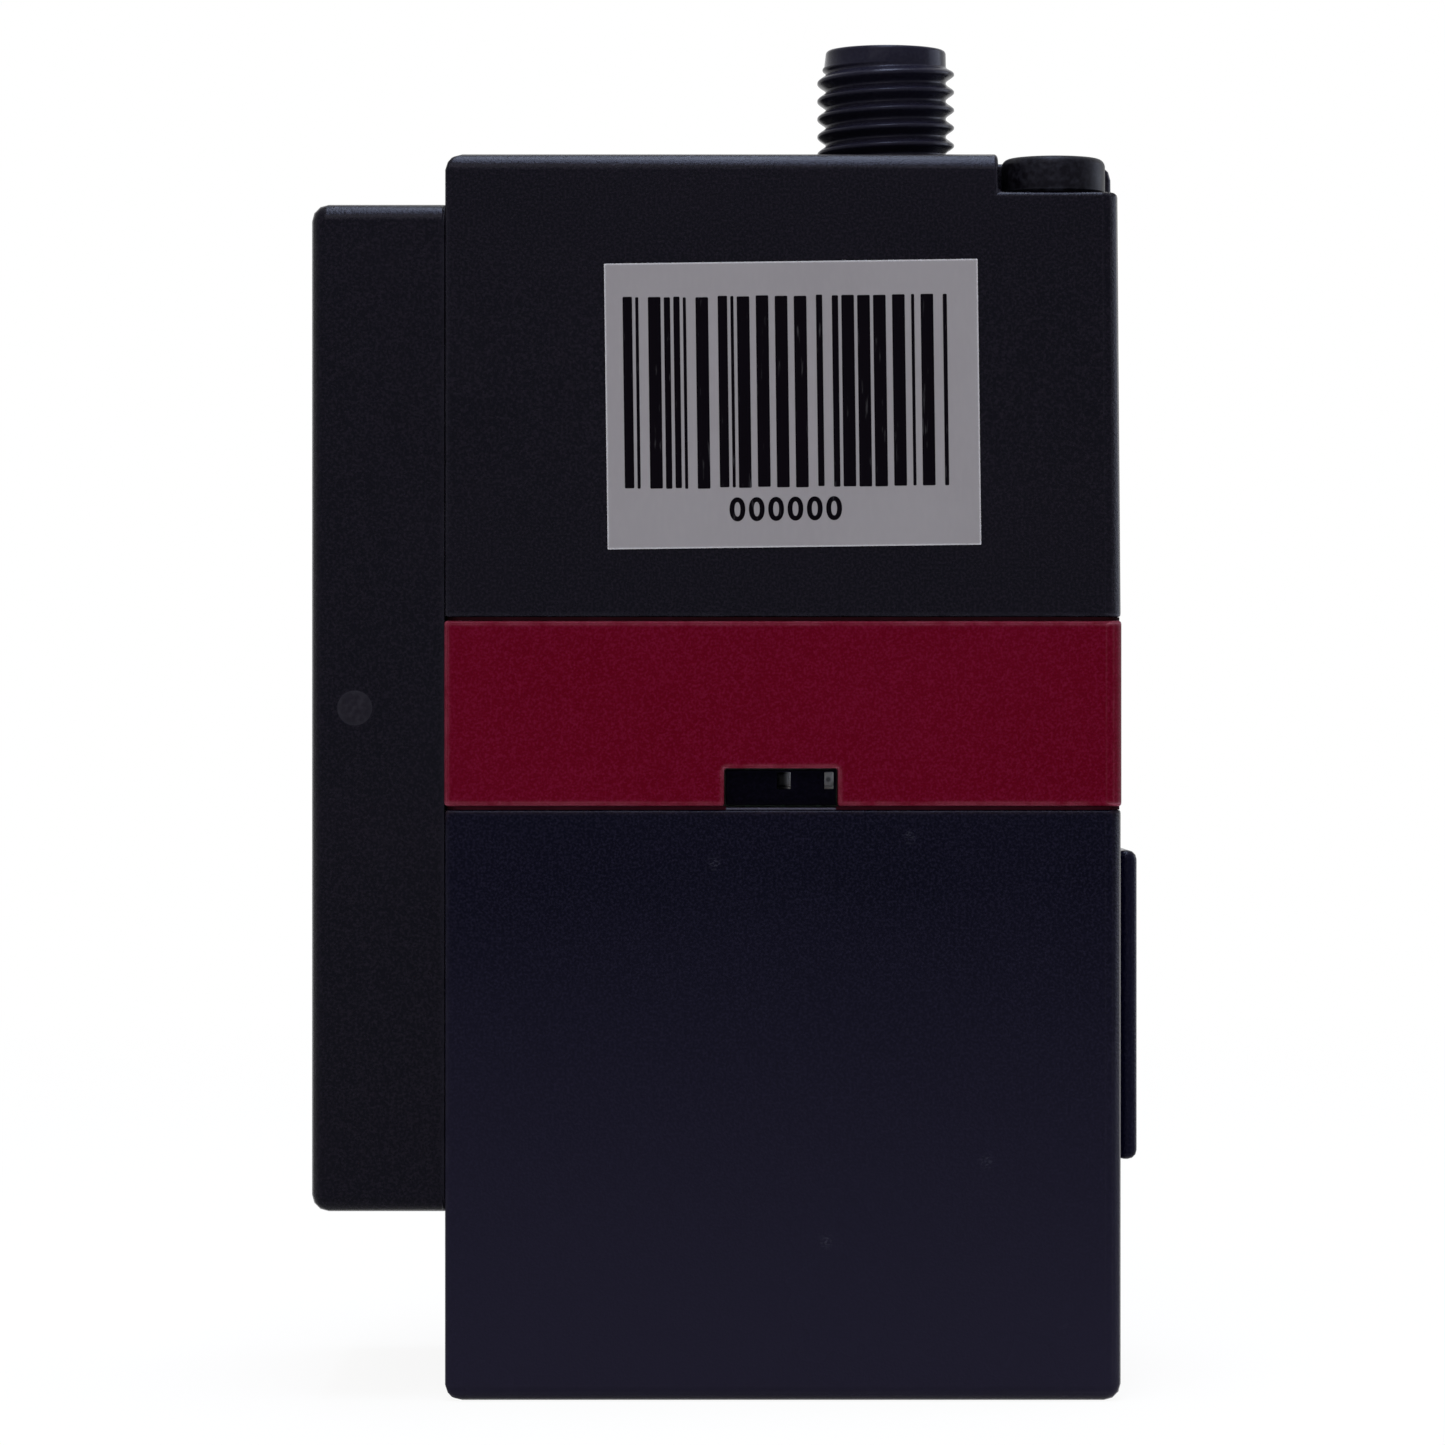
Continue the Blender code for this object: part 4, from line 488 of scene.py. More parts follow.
def label_stock(name):
    """Coated label stock with faint fibres and handling shade."""
    look = Look(name)
    fibre = look.noise(FIBRE_SIZE, 4.0, (1.0, 1.0, 0.35))
    shade = look.remap(look.noise(SHADE_SIZE, 3.0), 0.35, 0.7)
    paper = rgb(0.221, 0.207, 0.217)
    tone = look.blend(look.remap(shade, 0.0, 1.0, 0.0, 0.35), paper, rgb(0.190, 0.177, 0.187))
    tone = look.blend(look.remap(fibre, 0.45, 0.8, 0.0, 0.3), tone, rgb(0.25, 0.235, 0.24))
    look.set("Base Color", look.blend(look.edges(PAPER_EDGE), tone, rgb(0.55, 0.54, 0.56)))
    look.set("Roughness", look.remap(fibre, *NOISE_SPREAD, 0.48, 0.6))
    look.set("Specular IOR Level", 0.2)
    look.bump(fibre, 0.1, FINE_BUMP)
    return look.material


def print_ink(name):
    """Thermal print: dense black with small voids where the ribbon skipped."""
    look = Look(name)
    voids = look.remap(look.noise(VOID_SIZE, 3.0, (1.0, 1.0, 0.12)), 0.66, 0.80)
    ink = rgb(0.0020, 0.0013, 0.0026)
    look.set("Base Color", look.blend(look.math("MULTIPLY", voids, VOID_SHARE), ink, rgb(0.12, 0.115, 0.125)))
    look.set("Roughness", look.remap(voids, 0.0, 1.0, 0.5, 0.62))
    look.set("Specular IOR Level", 0.015)
    return look.material


def pale_package(name, colour, dark, lit_from=None, die=None):
    """Small moulded lamp package. The resin may be paler beyond a place, as painted light, or show a dark die
    in it.
    """
    look = Look(name)
    cloud = look.noise(PACKAGE_CLOUD, 3.0)
    share = look.remap(cloud, *NOISE_CORE, 1.0, 0.0)
    # Painted light: the resin turns pale towards its right end and stays dark elsewhere.
    if lit_from is not None:
        share = look.remap(look.along("X"), lit_from - LIT_RAMP, lit_from)
        share = look.math("MULTIPLY", share, look.math("MULTIPLY", share, share))
    if die is not None:
        clear = look.remap(look.distance(die), *DIE_CLEAR)
        share = look.math("MULTIPLY", look.remap(cloud, *NOISE_CORE, 1.0, 0.7), clear)
    look.set("Base Color", look.blend(share, dark, colour))
    look.set("Specular IOR Level", 0.06)
    look.set("Roughness", look.remap(cloud, *NOISE_SPREAD, 0.25, 0.4))
    look.bump(cloud, 0.1, FINE_BUMP)
    return look.material


# Mesh helpers

def add_object(name, data):
    item = bpy.data.objects.new(name, data)
    bpy.context.scene.collection.objects.link(item)
    return item


def new_piece(name, mesh, material, body, slot, *nodes):
    """Link a mesh as a piece that rides on a body and stands for the given nodes."""
    item = add_object(name, mesh)
    mesh.materials.clear()
    mesh.materials.append(material)
    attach(item, body)
    if nodes:
        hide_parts(*nodes)
    return item


def keep_flat_faces_flat(item):
    """Shade rounded edges smoothly without bending the flat faces beside them."""
    normals = item.modifiers.new("flat faces", "WEIGHTED_NORMAL")
    normals.keep_sharp = True
    normals.weight = FLAT_WEIGHT


def break_edges(item, width, steps, angle):
    """Round the edges that turn by more than an angle."""
    bevel = item.modifiers.new("broken edges", "BEVEL")
    bevel.limit_method = "ANGLE"
    bevel.angle_limit = angle
    bevel.width = width
    bevel.segments = steps


def weld_slivers(item):
    """Join the points that a bevel leaves almost on top of each other."""
    weld = item.modifiers.new("weld", "WELD")
    weld.merge_threshold = SLIVER


def mesh_from(work, name):
    mesh = bpy.data.meshes.new(name)
    work.to_mesh(mesh)
    work.free()
    return mesh


def softened(name, node, material, slot, width_at):
    """A node's own shape with its cut edges broken. The width depends on the edge's place."""
    work = bmesh.new()
    work.from_mesh(frame["nodes"][node].data)
    bmesh.ops.remove_doubles(work, verts=work.verts, dist=WELD)
    bmesh.ops.dissolve_limit(
        work, angle_limit=FLAT_ANGLE, verts=work.verts, edges=work.edges, delimit={"NORMAL"},
    )
    for face in work.faces:
        face.smooth = True
    weights = work.edges.layers.float.new("bevel_weight_edge")
    for edge in work.edges:
        if edge.calc_face_angle(0.0) > SHARP_ANGLE:
            edge[weights] = width_at((edge.verts[0].co + edge.verts[1].co) / 2) / WIDEST_EDGE
    item = new_piece(name, mesh_from(work, name), material, "housing", slot, node)
    bevel = item.modifiers.new("broken edges", "BEVEL")
    bevel.limit_method = "WEIGHT"
    bevel.width = WIDEST_EDGE
    bevel.segments = EDGE_STEPS
    bevel.use_clamp_overlap = False
    weld_slivers(item)
    keep_flat_faces_flat(item)
    return item


def even_edge(width):
    """The same width at every place."""
    return lambda point: width


def lower_edge(point):
    """Even, and none at the seam, where the bead lies."""
    return 0.0 if point.z > LOWER_BOX[1].z - JOINT_REACH else EDGE_WIDTH


def upper_edge(point):
    """Wide round the screw pockets, and none at the seam or where the hood stands against the side."""
    low, high = UPPER_BOX
    if point.x < low.x + JOINT_REACH or point.z < low.z + JOINT_REACH:
        return 0.0
    in_pocket = point.x > high.x - POCKET_REACH_X and point.z > high.z - POCKET_REACH_Z
    return POCKET_EDGE if in_pocket else EDGE_WIDTH


def hood_edge(point):
    """Even, but for the joint and the counterbores, whose rims run out into the rounded corners."""
    if point.x > HOOD_BOX[1].x - JOINT_REACH:
        return 0.0
    for axis in HOOD_SCREW_AXES:
        if math.hypot(point.y - axis.y, point.z - axis.z) < COUNTERBORE_REACH:
            return 0.0
    return EDGE_WIDTH


def band_edge(point):
    """Wide round the notch, tight along the seams."""
    low, high = BEZEL_BOX
    in_notch = low.x - JOINT_REACH < point.x < high.x + JOINT_REACH and point.z < high.z + JOINT_REACH
    return NOTCH_EDGE if in_notch else SEAM_EDGE


def smooth_node(node):
    """Shade a node's round faces smoothly and keep its corners."""
    item = frame["nodes"][node]
    for face in item.data.polygons:
        face.use_smooth = True
    weld = item.modifiers.new("weld", "WELD")
    weld.merge_threshold = WELD
    split = item.modifiers.new("corners", "EDGE_SPLIT")
    split.split_angle = NODE_CORNER


def revolved(rows, steps, lift_at):
    """Closed surface of rings about Z. Each row is (radius, z, lift), and the last joins the first."""
    work = bmesh.new()
    rings = []
    for radius, height, lift in rows:
        ring = []
        for step in range(steps):
            angle = 2.0 * math.pi * step / steps
            reach = radius + lift * lift_at(height, angle) if lift else radius
            ring.append(work.verts.new((reach * math.cos(angle), reach * math.sin(angle), height)))
        rings.append(ring)
    for index, ring in enumerate(rings):
        following = rings[(index + 1) % len(rings)]
        for step in range(steps):
            after = (step + 1) % steps
            face = work.faces.new((ring[step], following[step], following[after], ring[after]))
            face.smooth = True
    bmesh.ops.recalc_face_normals(work, faces=work.faces)
    return work


# Pieces

def ridge(turns):
    """Share of a thread's depth, from its crest at whole turns to its root between them."""
    away = abs(turns - round(turns)) * 2.0
    share = max(0.0, min(1.0, (ROOT_SHARE - away) / (ROOT_SHARE - CREST_SHARE)))
    rounded = share * share * (3.0 - 2.0 * share)
    return share + ROUND_SHARE * (rounded - share)


def connector_lift(height, angle):
    """Right-hand thread that runs out below the nose."""
    turns = (height - THREAD_PHASE) / THREAD_PITCH - angle / (2.0 * math.pi)
    fade = (THREAD_END_Z - height) / THREAD_FADE
    return ridge(turns) * max(0.0, min(1.0, fade))


def insert_lift(height, angle):
    return ridge(height / INSERT_PITCH - angle / (2.0 * math.pi))


def rim_rows(radius, side, top):
    """Rounded corner of a rim, from its flat top outwards on the given side."""
    rows = []
    for step in range(RIM_STEPS + 1):
        turn = math.pi / 2 * step / RIM_STEPS
        reach = radius - side * RIM_ROUND * (1.0 - math.sin(turn))
        rows.append((reach, top - RIM_ROUND * (1.0 - math.cos(turn)), 0.0))
    return rows


def build_connector(material):
    """The connector's shell with its cut thread and a plain nose."""
    low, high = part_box("connector_shell")
    flange = (high.x - low.x) / 2
    flange_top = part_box("connector_oring")[0].z - SEAT_GAP
    flange_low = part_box("connector_retainer")[1].z + FIT_GAP
    depth = THREAD_CREST - THREAD_ROOT
    rows = rim_rows(SOCKET_RADIUS, -1, high.z)[::-1] + rim_rows(NOSE_RADIUS, 1, high.z)
    count = round((NOSE_Z - flange_top) / THREAD_PITCH * THREAD_ROWS_PER_TURN)
    for index in range(count):
        rows.append((THREAD_ROOT, NOSE_Z + (flange_top - NOSE_Z) * index / count, depth))
    rows += [(THREAD_ROOT, flange_top, 0.0), (flange, flange_top, 0.0), (flange, flange_low, 0.0)]
    rows += [(THREAD_CREST, flange_low, 0.0), (THREAD_CREST, low.z, 0.0), (SOCKET_RADIUS, low.z, 0.0)]
    work = revolved(rows, THREAD_STEPS, connector_lift)
    work.transform(Matrix.Translation(((low.x + high.x) / 2, (low.y + high.y) / 2, 0.0)))
    mesh = mesh_from(work, "connector_thread")
    mesh.set_sharp_from_angle(angle=SHARP_ANGLE)
    return new_piece("connector_thread", mesh, material, "housing", "connector_black", "connector_shell")


def build_insert(node, material):
    """A brass insert whose bore carries a cut thread."""
    low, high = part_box(node)
    radius = (high.y - low.y) / 2
    length = high.x - low.x
    chamfer = INSERT_THREAD_DEPTH
    rows = [(radius - chamfer, 0.0, 0.0), (radius, chamfer, 0.0)]
    rows += [(radius, length - chamfer, 0.0), (radius - chamfer / 2, length, 0.0)]
    rows.append((INSERT_BORE + chamfer, length, 0.0))
    span = length - 2.0 * chamfer
    count = round(span / INSERT_PITCH * INSERT_ROWS_PER_TURN)
    for index in range(count + 1):
        rows.append((INSERT_BORE + chamfer, length - chamfer - span * index / count, -chamfer))
    rows.append((INSERT_BORE + chamfer, 0.0, 0.0))
    work = revolved(rows, INSERT_STEPS, insert_lift)
    middle = (low + high) / 2
    turn = Matrix.Rotation(math.pi / 2, 4, "Y")
    work.transform(Matrix.Translation((low.x, middle.y, middle.z)) @ turn)
    mesh = mesh_from(work, node)
    mesh.set_sharp_from_angle(angle=SHARP_ANGLE)
    return new_piece(node + "_thread", mesh, material, "housing", "brass", node)


def head_profile(radius, height, crown):
    """Half outline of a pan head from its middle, over the dome, to its seat."""
    points = [(0.0, height)]
    for step in range(DOME_STEPS + 1):
        turn = math.pi / 2 * (1.0 - step / DOME_STEPS)
        points.append((radius - crown * (1.0 - math.cos(turn)), height - crown * (1.0 - math.sin(turn))))
    chamfer = height * HEAD_CHAMFER
    points += [(radius, chamfer), (radius - chamfer, 0.0)]
    return points


def lathe(points, steps):
    """Solid of revolution about Z from a half outline that starts and ends near the axis."""
    work = bmesh.new()
    verts = [work.verts.new((radius, 0.0, height)) for radius, height in points]
    edges = [work.edges.new((first, second)) for first, second in zip(verts, verts[1:])]
    bmesh.ops.spin(work, geom=verts + edges, cent=(0, 0, 0), axis=(0, 0, 1), angle=2 * math.pi, steps=steps)
    bmesh.ops.remove_doubles(work, verts=work.verts, dist=WELD)
    holes = [edge for edge in work.edges if edge.is_boundary]
    if holes:
        bmesh.ops.contextual_create(work, geom=holes)
    bmesh.ops.recalc_face_normals(work, faces=work.faces)
    for face in work.faces:
        face.smooth = True
    return work


def cutter_box(low, high):
    work = bmesh.new()
    size = Vector(high) - Vector(low)
    middle = (Vector(high) + Vector(low)) / 2
    bmesh.ops.create_cube(work, size=1.0, matrix=Matrix.Translation(middle) @ Matrix.Diagonal((*size, 1.0)))
    return add_object("cutter", mesh_from(work, "cutter"))


def applied(item):
    """The mesh of an object with its modifiers in it."""
    graph = bpy.context.evaluated_depsgraph_get()
    return bpy.data.meshes.new_from_object(item.evaluated_get(graph))


def cut_mesh(item, tools):
    """Mesh of an object with the tools cut out of it. The objects themselves go."""
    for tool in tools:
        cut = item.modifiers.new("cut", "BOOLEAN")
        cut.operation = "DIFFERENCE"
        cut.solver = "EXACT"
        cut.object = tool
    bpy.context.view_layer.update()
    mesh = applied(item)
    for used in [item] + tools:
        bpy.data.objects.remove(used, do_unlink=True)
    return mesh


def build_screw(node, axis, head_height, shank_radius, material):
    """A pan-head screw with a cross recess, standing where the node is."""
    low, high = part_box(node)
    size = high - low
    long_way = max(range(3), key=lambda index: size[index])
    radius = min(size) / 2
    length = size[long_way]
    work = lathe(head_profile(radius, head_height, head_height * HEAD_CROWN), HEAD_STEPS)
    head = add_object("head", mesh_from(work, "head"))
    reach = radius * RECESS_REACH
    half = radius * RECESS_HALF_WIDTH
    floor = head_height * (1.0 - RECESS_DEPTH)
    tools = []
    for half_x, half_y in ((reach, half), (half, reach)):
        tools.append(cutter_box((-half_x, -half_y, floor), (half_x, half_y, head_height * 2)))
    work = bmesh.new()
    work.from_mesh(cut_mesh(head, tools))
    end = head_height - length
    shank = lathe([(0.0, 0.0), (shank_radius, 0.0), (shank_radius, end), (0.0, end)], SHANK_STEPS)
    work.from_mesh(mesh_from(shank, "shank"))
    middle = (low + high) / 2
    tip = high[long_way] if axis[long_way] > 0 else low[long_way]
    seat = middle.copy()
    seat[long_way] = tip - axis[long_way] * head_height
    turn = Vector((0, 0, 1)).rotation_difference(Vector(axis)).to_matrix().to_4x4()
    work.transform(Matrix.Translation(seat) @ turn)
    for face in work.faces:
        face.smooth = True
    item = new_piece(node + "_fine", mesh_from(work, node), material, "housing", "black_screw", node)
    break_edges(item, radius * HEAD_EDGE, HEAD_EDGE_STEPS, HEAD_CORNER)
    weld_slivers(item)
    keep_flat_faces_flat(item)
    return item


def label_frame():
    """Matrix with its origin at the label's upper left corner, X along it, Y up and Z out of it."""
    points = [vertex.co for vertex in frame["nodes"]["label"].data.vertices]
    top_left = max(points, key=lambda point: point.z - point.x)
    top_right = max(points, key=lambda point: point.z + point.x)
    low_left = min(points, key=lambda point: point.z + point.x)
    along = top_right - top_left
    width = along.length
    height = (top_left - low_left).length
    along.y = 0.0
    along.normalize()
    out = along.cross(top_left - low_left).normalized()
    up = out.cross(along)
    reach = max(point.dot(out) for point in points)
    matrix = Matrix((along, up, out)).transposed().to_4x4()
    matrix.translation = top_left + out * (reach - top_left.dot(out))
    return matrix, width, height


def rounded_outline(left, right, low, high, radius, steps=OUTLINE_STEPS):
    points = []
    for x, y, start in ((right - radius, high - radius, 0), (left + radius, high - radius, 90),
                        (left + radius, low + radius, 180), (right - radius, low + radius, 270)):
        for step in range(steps + 1):
            angle = math.radians(start + 90 * step / steps)
            points.append((x + radius * math.cos(angle), y + radius * math.sin(angle)))
    return points


def add_sheet(work, outline, low, high):
    """Add a flat closed sheet with the given outline, between two heights."""
    lower = [work.verts.new((x, y, low)) for x, y in outline]
    upper = [work.verts.new((x, y, high)) for x, y in outline]
    work.faces.new(lower[::-1])
    work.faces.new(upper)
    count = len(outline)
    for index in range(count):
        after = (index + 1) % count
        work.faces.new((lower[index], lower[after], upper[after], upper[index]))


def build_label(paper, ink):
    """The label, a bar pattern that stands for no code, and a plain row of noughts."""
    matrix, width, height = label_frame()
    work = bmesh.new()
    outline = rounded_outline(0.0, width, -height, 0.0, LABEL_CORNER)
    add_sheet(work, outline, -LABEL_THICKNESS, -2.0 * PRINT_RISE)
    work.transform(matrix)
    sheet = new_piece("label_sheet", mesh_from(work, "label_sheet"), paper, "housing", "label_paper", "label")
    break_edges(sheet, LABEL_EDGE, LABEL_EDGE_STEPS, LABEL_EDGE_ANGLE)
    work = bmesh.new()
    dice = random.Random(BAR_SEED)
    left = BARS_LEFT
    while left < BARS_RIGHT:
        bar = min(BAR_MODULE * dice.choice(BAR_WIDTHS), BARS_RIGHT - left)
        ragged = dice.uniform(-BAR_RAGGED, BAR_RAGGED)
        low = ragged - BARS_BOTTOM
        high = ragged - BARS_TOP
        outline = rounded_outline(left, left + bar, low, high, min(BAR_CORNER, bar / 3), BAR_STEPS)
        add_sheet(work, outline, -3.0 * PRINT_RISE, -PRINT_RISE)
        left += bar + BAR_MODULE * dice.choice(GAP_WIDTHS)
    work.transform(matrix)
    new_piece("label_bars", mesh_from(work, "label_bars"), ink, "housing", "label_paper")
    curve = bpy.data.curves.new("label_digits", "FONT")
    curve.body = DIGITS
    curve.size = DIGITS_HEIGHT
    curve.align_x = "CENTER"
    curve.space_character = DIGITS_SPACING
    curve.extrude = PRINT_RISE
    curve.offset = DIGITS_BOLD
    holder = add_object("digits", curve)
    bpy.context.view_layer.update()
    work = bmesh.new()
    work.from_mesh(applied(holder))
    bmesh.ops.remove_doubles(work, verts=work.verts, dist=WELD)
    mesh = mesh_from(work, "label_digits")
    bpy.data.objects.remove(holder, do_unlink=True)
    mesh.transform(matrix @ Matrix.Translation((DIGITS_MIDDLE, -DIGITS_BASE, -2.0 * PRINT_RISE)))
    new_piece("label_digits", mesh, ink, "housing", "label_paper")


def build_lamp(node, package, resin):
    """A lamp package with a shallow pit, and the resin that fills it."""
    low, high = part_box(node)
    pit_low = (low.x + LAMP_FRAME, low.y - FIT_GAP, low.z + LAMP_FRAME)
    pit_high = (high.x - LAMP_FRAME, low.y + LAMP_PIT, high.z - LAMP_FRAME)
    mesh = cut_mesh(cutter_box(low, high), [cutter_box(pit_low, pit_high)])
    item = new_piece(node + "_package", mesh, package, "housing", "led", node)
    break_edges(item, BEZEL_EDGE, LAMP_EDGE_STEPS, LAMP_CORNER)
    work = bmesh.new()
    middle = (low + high) / 2
    middle.y = low.y + LAMP_PIT
    size = Vector((high.x - low.x - 2 * LAMP_FRAME, LAMP_PIT, high.z - low.z - 2 * LAMP_FRAME))
    bmesh.ops.create_cube(work, size=1.0)
    bmesh.ops.subdivide_edges(work, edges=work.edges, cuts=RESIN_CUTS, use_grid_fill=True)
    for vertex in work.verts:
        bulge = (1.0 - (2.0 * vertex.co.x) ** 2) * (1.0 - (2.0 * vertex.co.z) ** 2)
        if vertex.co.y < 0.0:
            domed = min(vertex.co.y, -RESIN_RIM - RESIN_BULGE * bulge)
            vertex.co.y = domed if bulge else -RESIN_RIM
    bmesh.ops.remove_doubles(work, verts=work.verts, dist=UNIT_WELD)
    for face in work.faces:
        face.smooth = True
    work.transform(Matrix.Translation(middle) @ Matrix.Diagonal((*size, 1.0)))
    new_piece(node + "_resin", mesh_from(work, node + "_resin"), resin, "housing", "led")


def open_front(work, left, right):
    """Take the front run between two places along X out of a ring, and close its ends."""
    for place in (left, right):
        everything = work.verts[:] + work.edges[:] + work.faces[:]
        bmesh.ops.bisect_plane(work, geom=everything, plane_co=(place, 0.0, 0.0), plane_no=(1.0, 0.0, 0.0))
    middles = [(face, face.calc_center_median()) for face in work.faces]
    between = [face for face, middle in middles if left < middle.x < right and middle.y < 0.0]
    bmesh.ops.delete(work, geom=between, context="FACES")
    bmesh.ops.holes_fill(work, edges=[edge for edge in work.edges if edge.is_boundary], sides=4)


def build_bead(name, box, across, start, end, inset, material, gap=None):
    """A sealing bead round a box, in the joint between two places along one axis, with a gap in front."""
    low, high = box
    first, second = [axis for axis in range(3) if axis != across]
    rings = []
    work = bmesh.new()
    for depth, place in ((inset, start), (inset, end), (BEAD_DEPTH, end), (BEAD_DEPTH, start)):
        ring = []
        for one, other in rounded_outline(low[first] + depth, high[first] - depth, low[second] + depth,
                                          high[second] - depth, BEAD_CORNER):
            point = Vector()
            point[across] = place
            point[first] = one
            point[second] = other
            ring.append(work.verts.new(point))
        rings.append(ring)
    count = len(rings[0])
    for index, ring in enumerate(rings):
        following = rings[(index + 1) % len(rings)]
        for step in range(count):
            after = (step + 1) % count
            work.faces.new((ring[step], following[step], following[after], ring[after]))
    if gap:
        open_front(work, *gap)
    bmesh.ops.recalc_face_normals(work, faces=work.faces)
    item = new_piece(name, mesh_from(work, name), material, "housing", "rubber")
    break_edges(item, BEAD_ROUND, EDGE_STEPS, SHARP_ANGLE)
    return item


def build_sill(material):
    """The lip of the lower housing that shows under the notch, where the bead is left out."""
    front = LOWER_BOX[0].y
    seat = LOWER_BOX[1].z
    work = bmesh.new()
    outline = rounded_outline(front + SEAM_BEAD_INSET, front + BEAD_DEPTH, seat + FILM_GAP,
                              seat + SILL_HEIGHT, SILL_ROUND)
    add_sheet(work, outline, BEZEL_BOX[0].x + FILM_GAP, BEZEL_BOX[1].x - FILM_GAP)
    work.transform(LENGTH_ALONG_X)
    bmesh.ops.recalc_face_normals(work, faces=work.faces)
    return new_piece("notch_sill", mesh_from(work, "notch_sill"), material, "housing", "housing_plastic")


def build_plug(material):
    """The pressed-in plug of the hood's side, its thin edge spread over the hole's rim."""
    low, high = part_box("hood_pin")
    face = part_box("optics_hood")[0].y - PLUG_RISE
    length = high.y - face
    points = [(0.0, length), (PLUG_CAP * PLUG_FLAT, length), (PLUG_CAP, length - PLUG_RISE)]
    points += [(PLUG_RADIUS, length - PLUG_NECK), (PLUG_RADIUS, 0.0), (0.0, 0.0)]
    work = lathe(points, PLUG_STEPS)
    middle = (low + high) / 2
    turn = Matrix.Rotation(math.pi / 2, 4, "X")
    work.transform(Matrix.Translation((middle.x, high.y, middle.z)) @ turn)
    mesh = mesh_from(work, "hood_plug")
    mesh.set_sharp_from_angle(angle=SHARP_ANGLE)
    return new_piece("hood_plug", mesh, material, "housing", "component", "hood_pin")


# Materials

# Edge tones, partly rubbed wear and partly a painted highlight; the warm one is used near the lower housing's
# seam.
GREY_EDGE_WEAR_AND_HIGHLIGHT = rgb(0.030, 0.028, 0.038)
WARM_EDGE_WEAR_AND_HIGHLIGHT = rgb(0.032, 0.019, 0.021)
HOUSING_TONES = (rgb(0.0002, 0.0001, 0.0017), rgb(0.0082, 0.0060, 0.0105))
UPPER_MARKS = ((-0.0089, -0.0148, 0.0665),)
LOWER_MARKS = (
    (-0.0037, -0.015, 0.0289), (0.0068, -0.015, 0.0303), (0.0023, -0.015, 0.0086), (0.0109, -0.015, 0.0129),
)
# Painted light from below makes the lower housing paler up to this height.
LOWER_PAINTED_LIGHT_TO = 0.028
UPPER = moulded("upper_plastic", *HOUSING_TONES, GREY_EDGE_WEAR_AND_HIGHLIGHT, 0.26, 0.085, marks=UPPER_MARKS)
HOOD = moulded("hood_plastic", *HOUSING_TONES, rgb(0.0090, 0.0080, 0.0130), 0.26, 0.085)
LOWER = moulded("lower_plastic", rgb(0.0001, 0.0001, 0.0036), rgb(0.0085, 0.0073, 0.0175), GREY_EDGE_WEAR_AND_HIGHLIGHT,
                0.26, 0.055, marks=LOWER_MARKS, painted_light_to=LOWER_PAINTED_LIGHT_TO, seam=(LOWER_BOX[1].z, WARM_EDGE_WEAR_AND_HIGHLIGHT))
# The band's pale pink edge tone is mostly a painted highlight, broken up like wear.
BAND = moulded("crimson_plastic", rgb(0.080, 0.0001, 0.0056), rgb(0.17, 0.009, 0.036),
               rgb(0.26, 0.078, 0.108), 0.45, 0.02, grain=0.00013, edge_reach=0.0005, speckle=0.35)
PAD = moulded("pad_plastic", rgb(0.0003, 0.0002, 0.0070), rgb(0.0080, 0.0070, 0.0180), GREY_EDGE_WEAR_AND_HIGHLIGHT, 0.22, 0.06)
BLACK = blackened("black_oxide", rgb(0.0018, 0.0015, 0.0028), 0.40, 0.07, grain=0.0003, mottle=0.4)
SHELL = blackened("connector_moulding", rgb(0.0088, 0.0081, 0.0158), 0.19, 0.060, grain=0.0002, mottle=0.3)
MOULDED_BLACK = blackened("black_moulding", rgb(0.009, 0.009, 0.010), 0.42, 0.35)
PLUG = moulded("plug_plastic", rgb(0.006, 0.005, 0.008), rgb(0.024, 0.022, 0.028), rgb(0.012, 0.011, 0.015),
               0.55, 0.08, grain=0.0003, speckle=0.4)
BEZEL = moulded("bezel_plastic", rgb(0.0004, 0.0002, 0.0022), rgb(0.003, 0.0022, 0.0070),
                rgb(0.003, 0.0025, 0.006), 0.5, 0.02)
# The sill's grey is a painted highlight: light falling through the notch onto the lower housing's black lip.
SILL_HIGHLIGHT = moulded("sill_painted_highlight", rgb(0.042, 0.039, 0.055), rgb(0.062, 0.058, 0.081), rgb(0.088, 0.082, 0.108),
               0.3, 0.06, edge_reach=0.0001)
SEAL = rubber("seal_rubber", rgb(0.006, 0.006, 0.007), rgb(0.016, 0.016, 0.018))
LIP = rubber("seam_rubber", rgb(0.014, 0.0006, 0.0026), rgb(0.022, 0.002, 0.005))
# A darker copy of the seam rubber for the upper seam and its gasket: painted shade in that joint.
SHADED_LIP = rubber("shaded_seam_rubber", rgb(0.008, 0.0004, 0.0013), rgb(0.014, 0.001, 0.003))
GLASS = filter_glass("red_filter", rgb(0.62, 0.016, 0.028), rgb(0.52, 0.022, 0.034))
FILTER = filter_glass("small_filter", rgb(0.16, 0.004, 0.01), rgb(0.12, 0.01, 0.014))
LENS = clear_moulding("lens_plastic", rgb(0.8, 0.82, 0.86), 0.9)
STEEL = metal("bright_steel", rgb(0.45, 0.45, 0.46), 0.32)
BRASS = metal("turned_brass", rgb(0.60, 0.41, 0.16), 0.3)
GOLD = metal("gold_plate", rgb(0.75, 0.55, 0.22), 0.22)
CAST = metal("cast_alloy", rgb(0.30, 0.30, 0.31), 0.5)
MIRROR = metal("front_mirror", rgb(0.85, 0.85, 0.87), 0.08, bright=1.05)
BOARD = circuit_board("solder_mask")
PAPER = label_stock("label_stock")
INK = print_ink("thermal_print")
LAMP = pale_package("lamp_package", rgb(0.78, 0.78, 0.80), rgb(0.64, 0.64, 0.66))
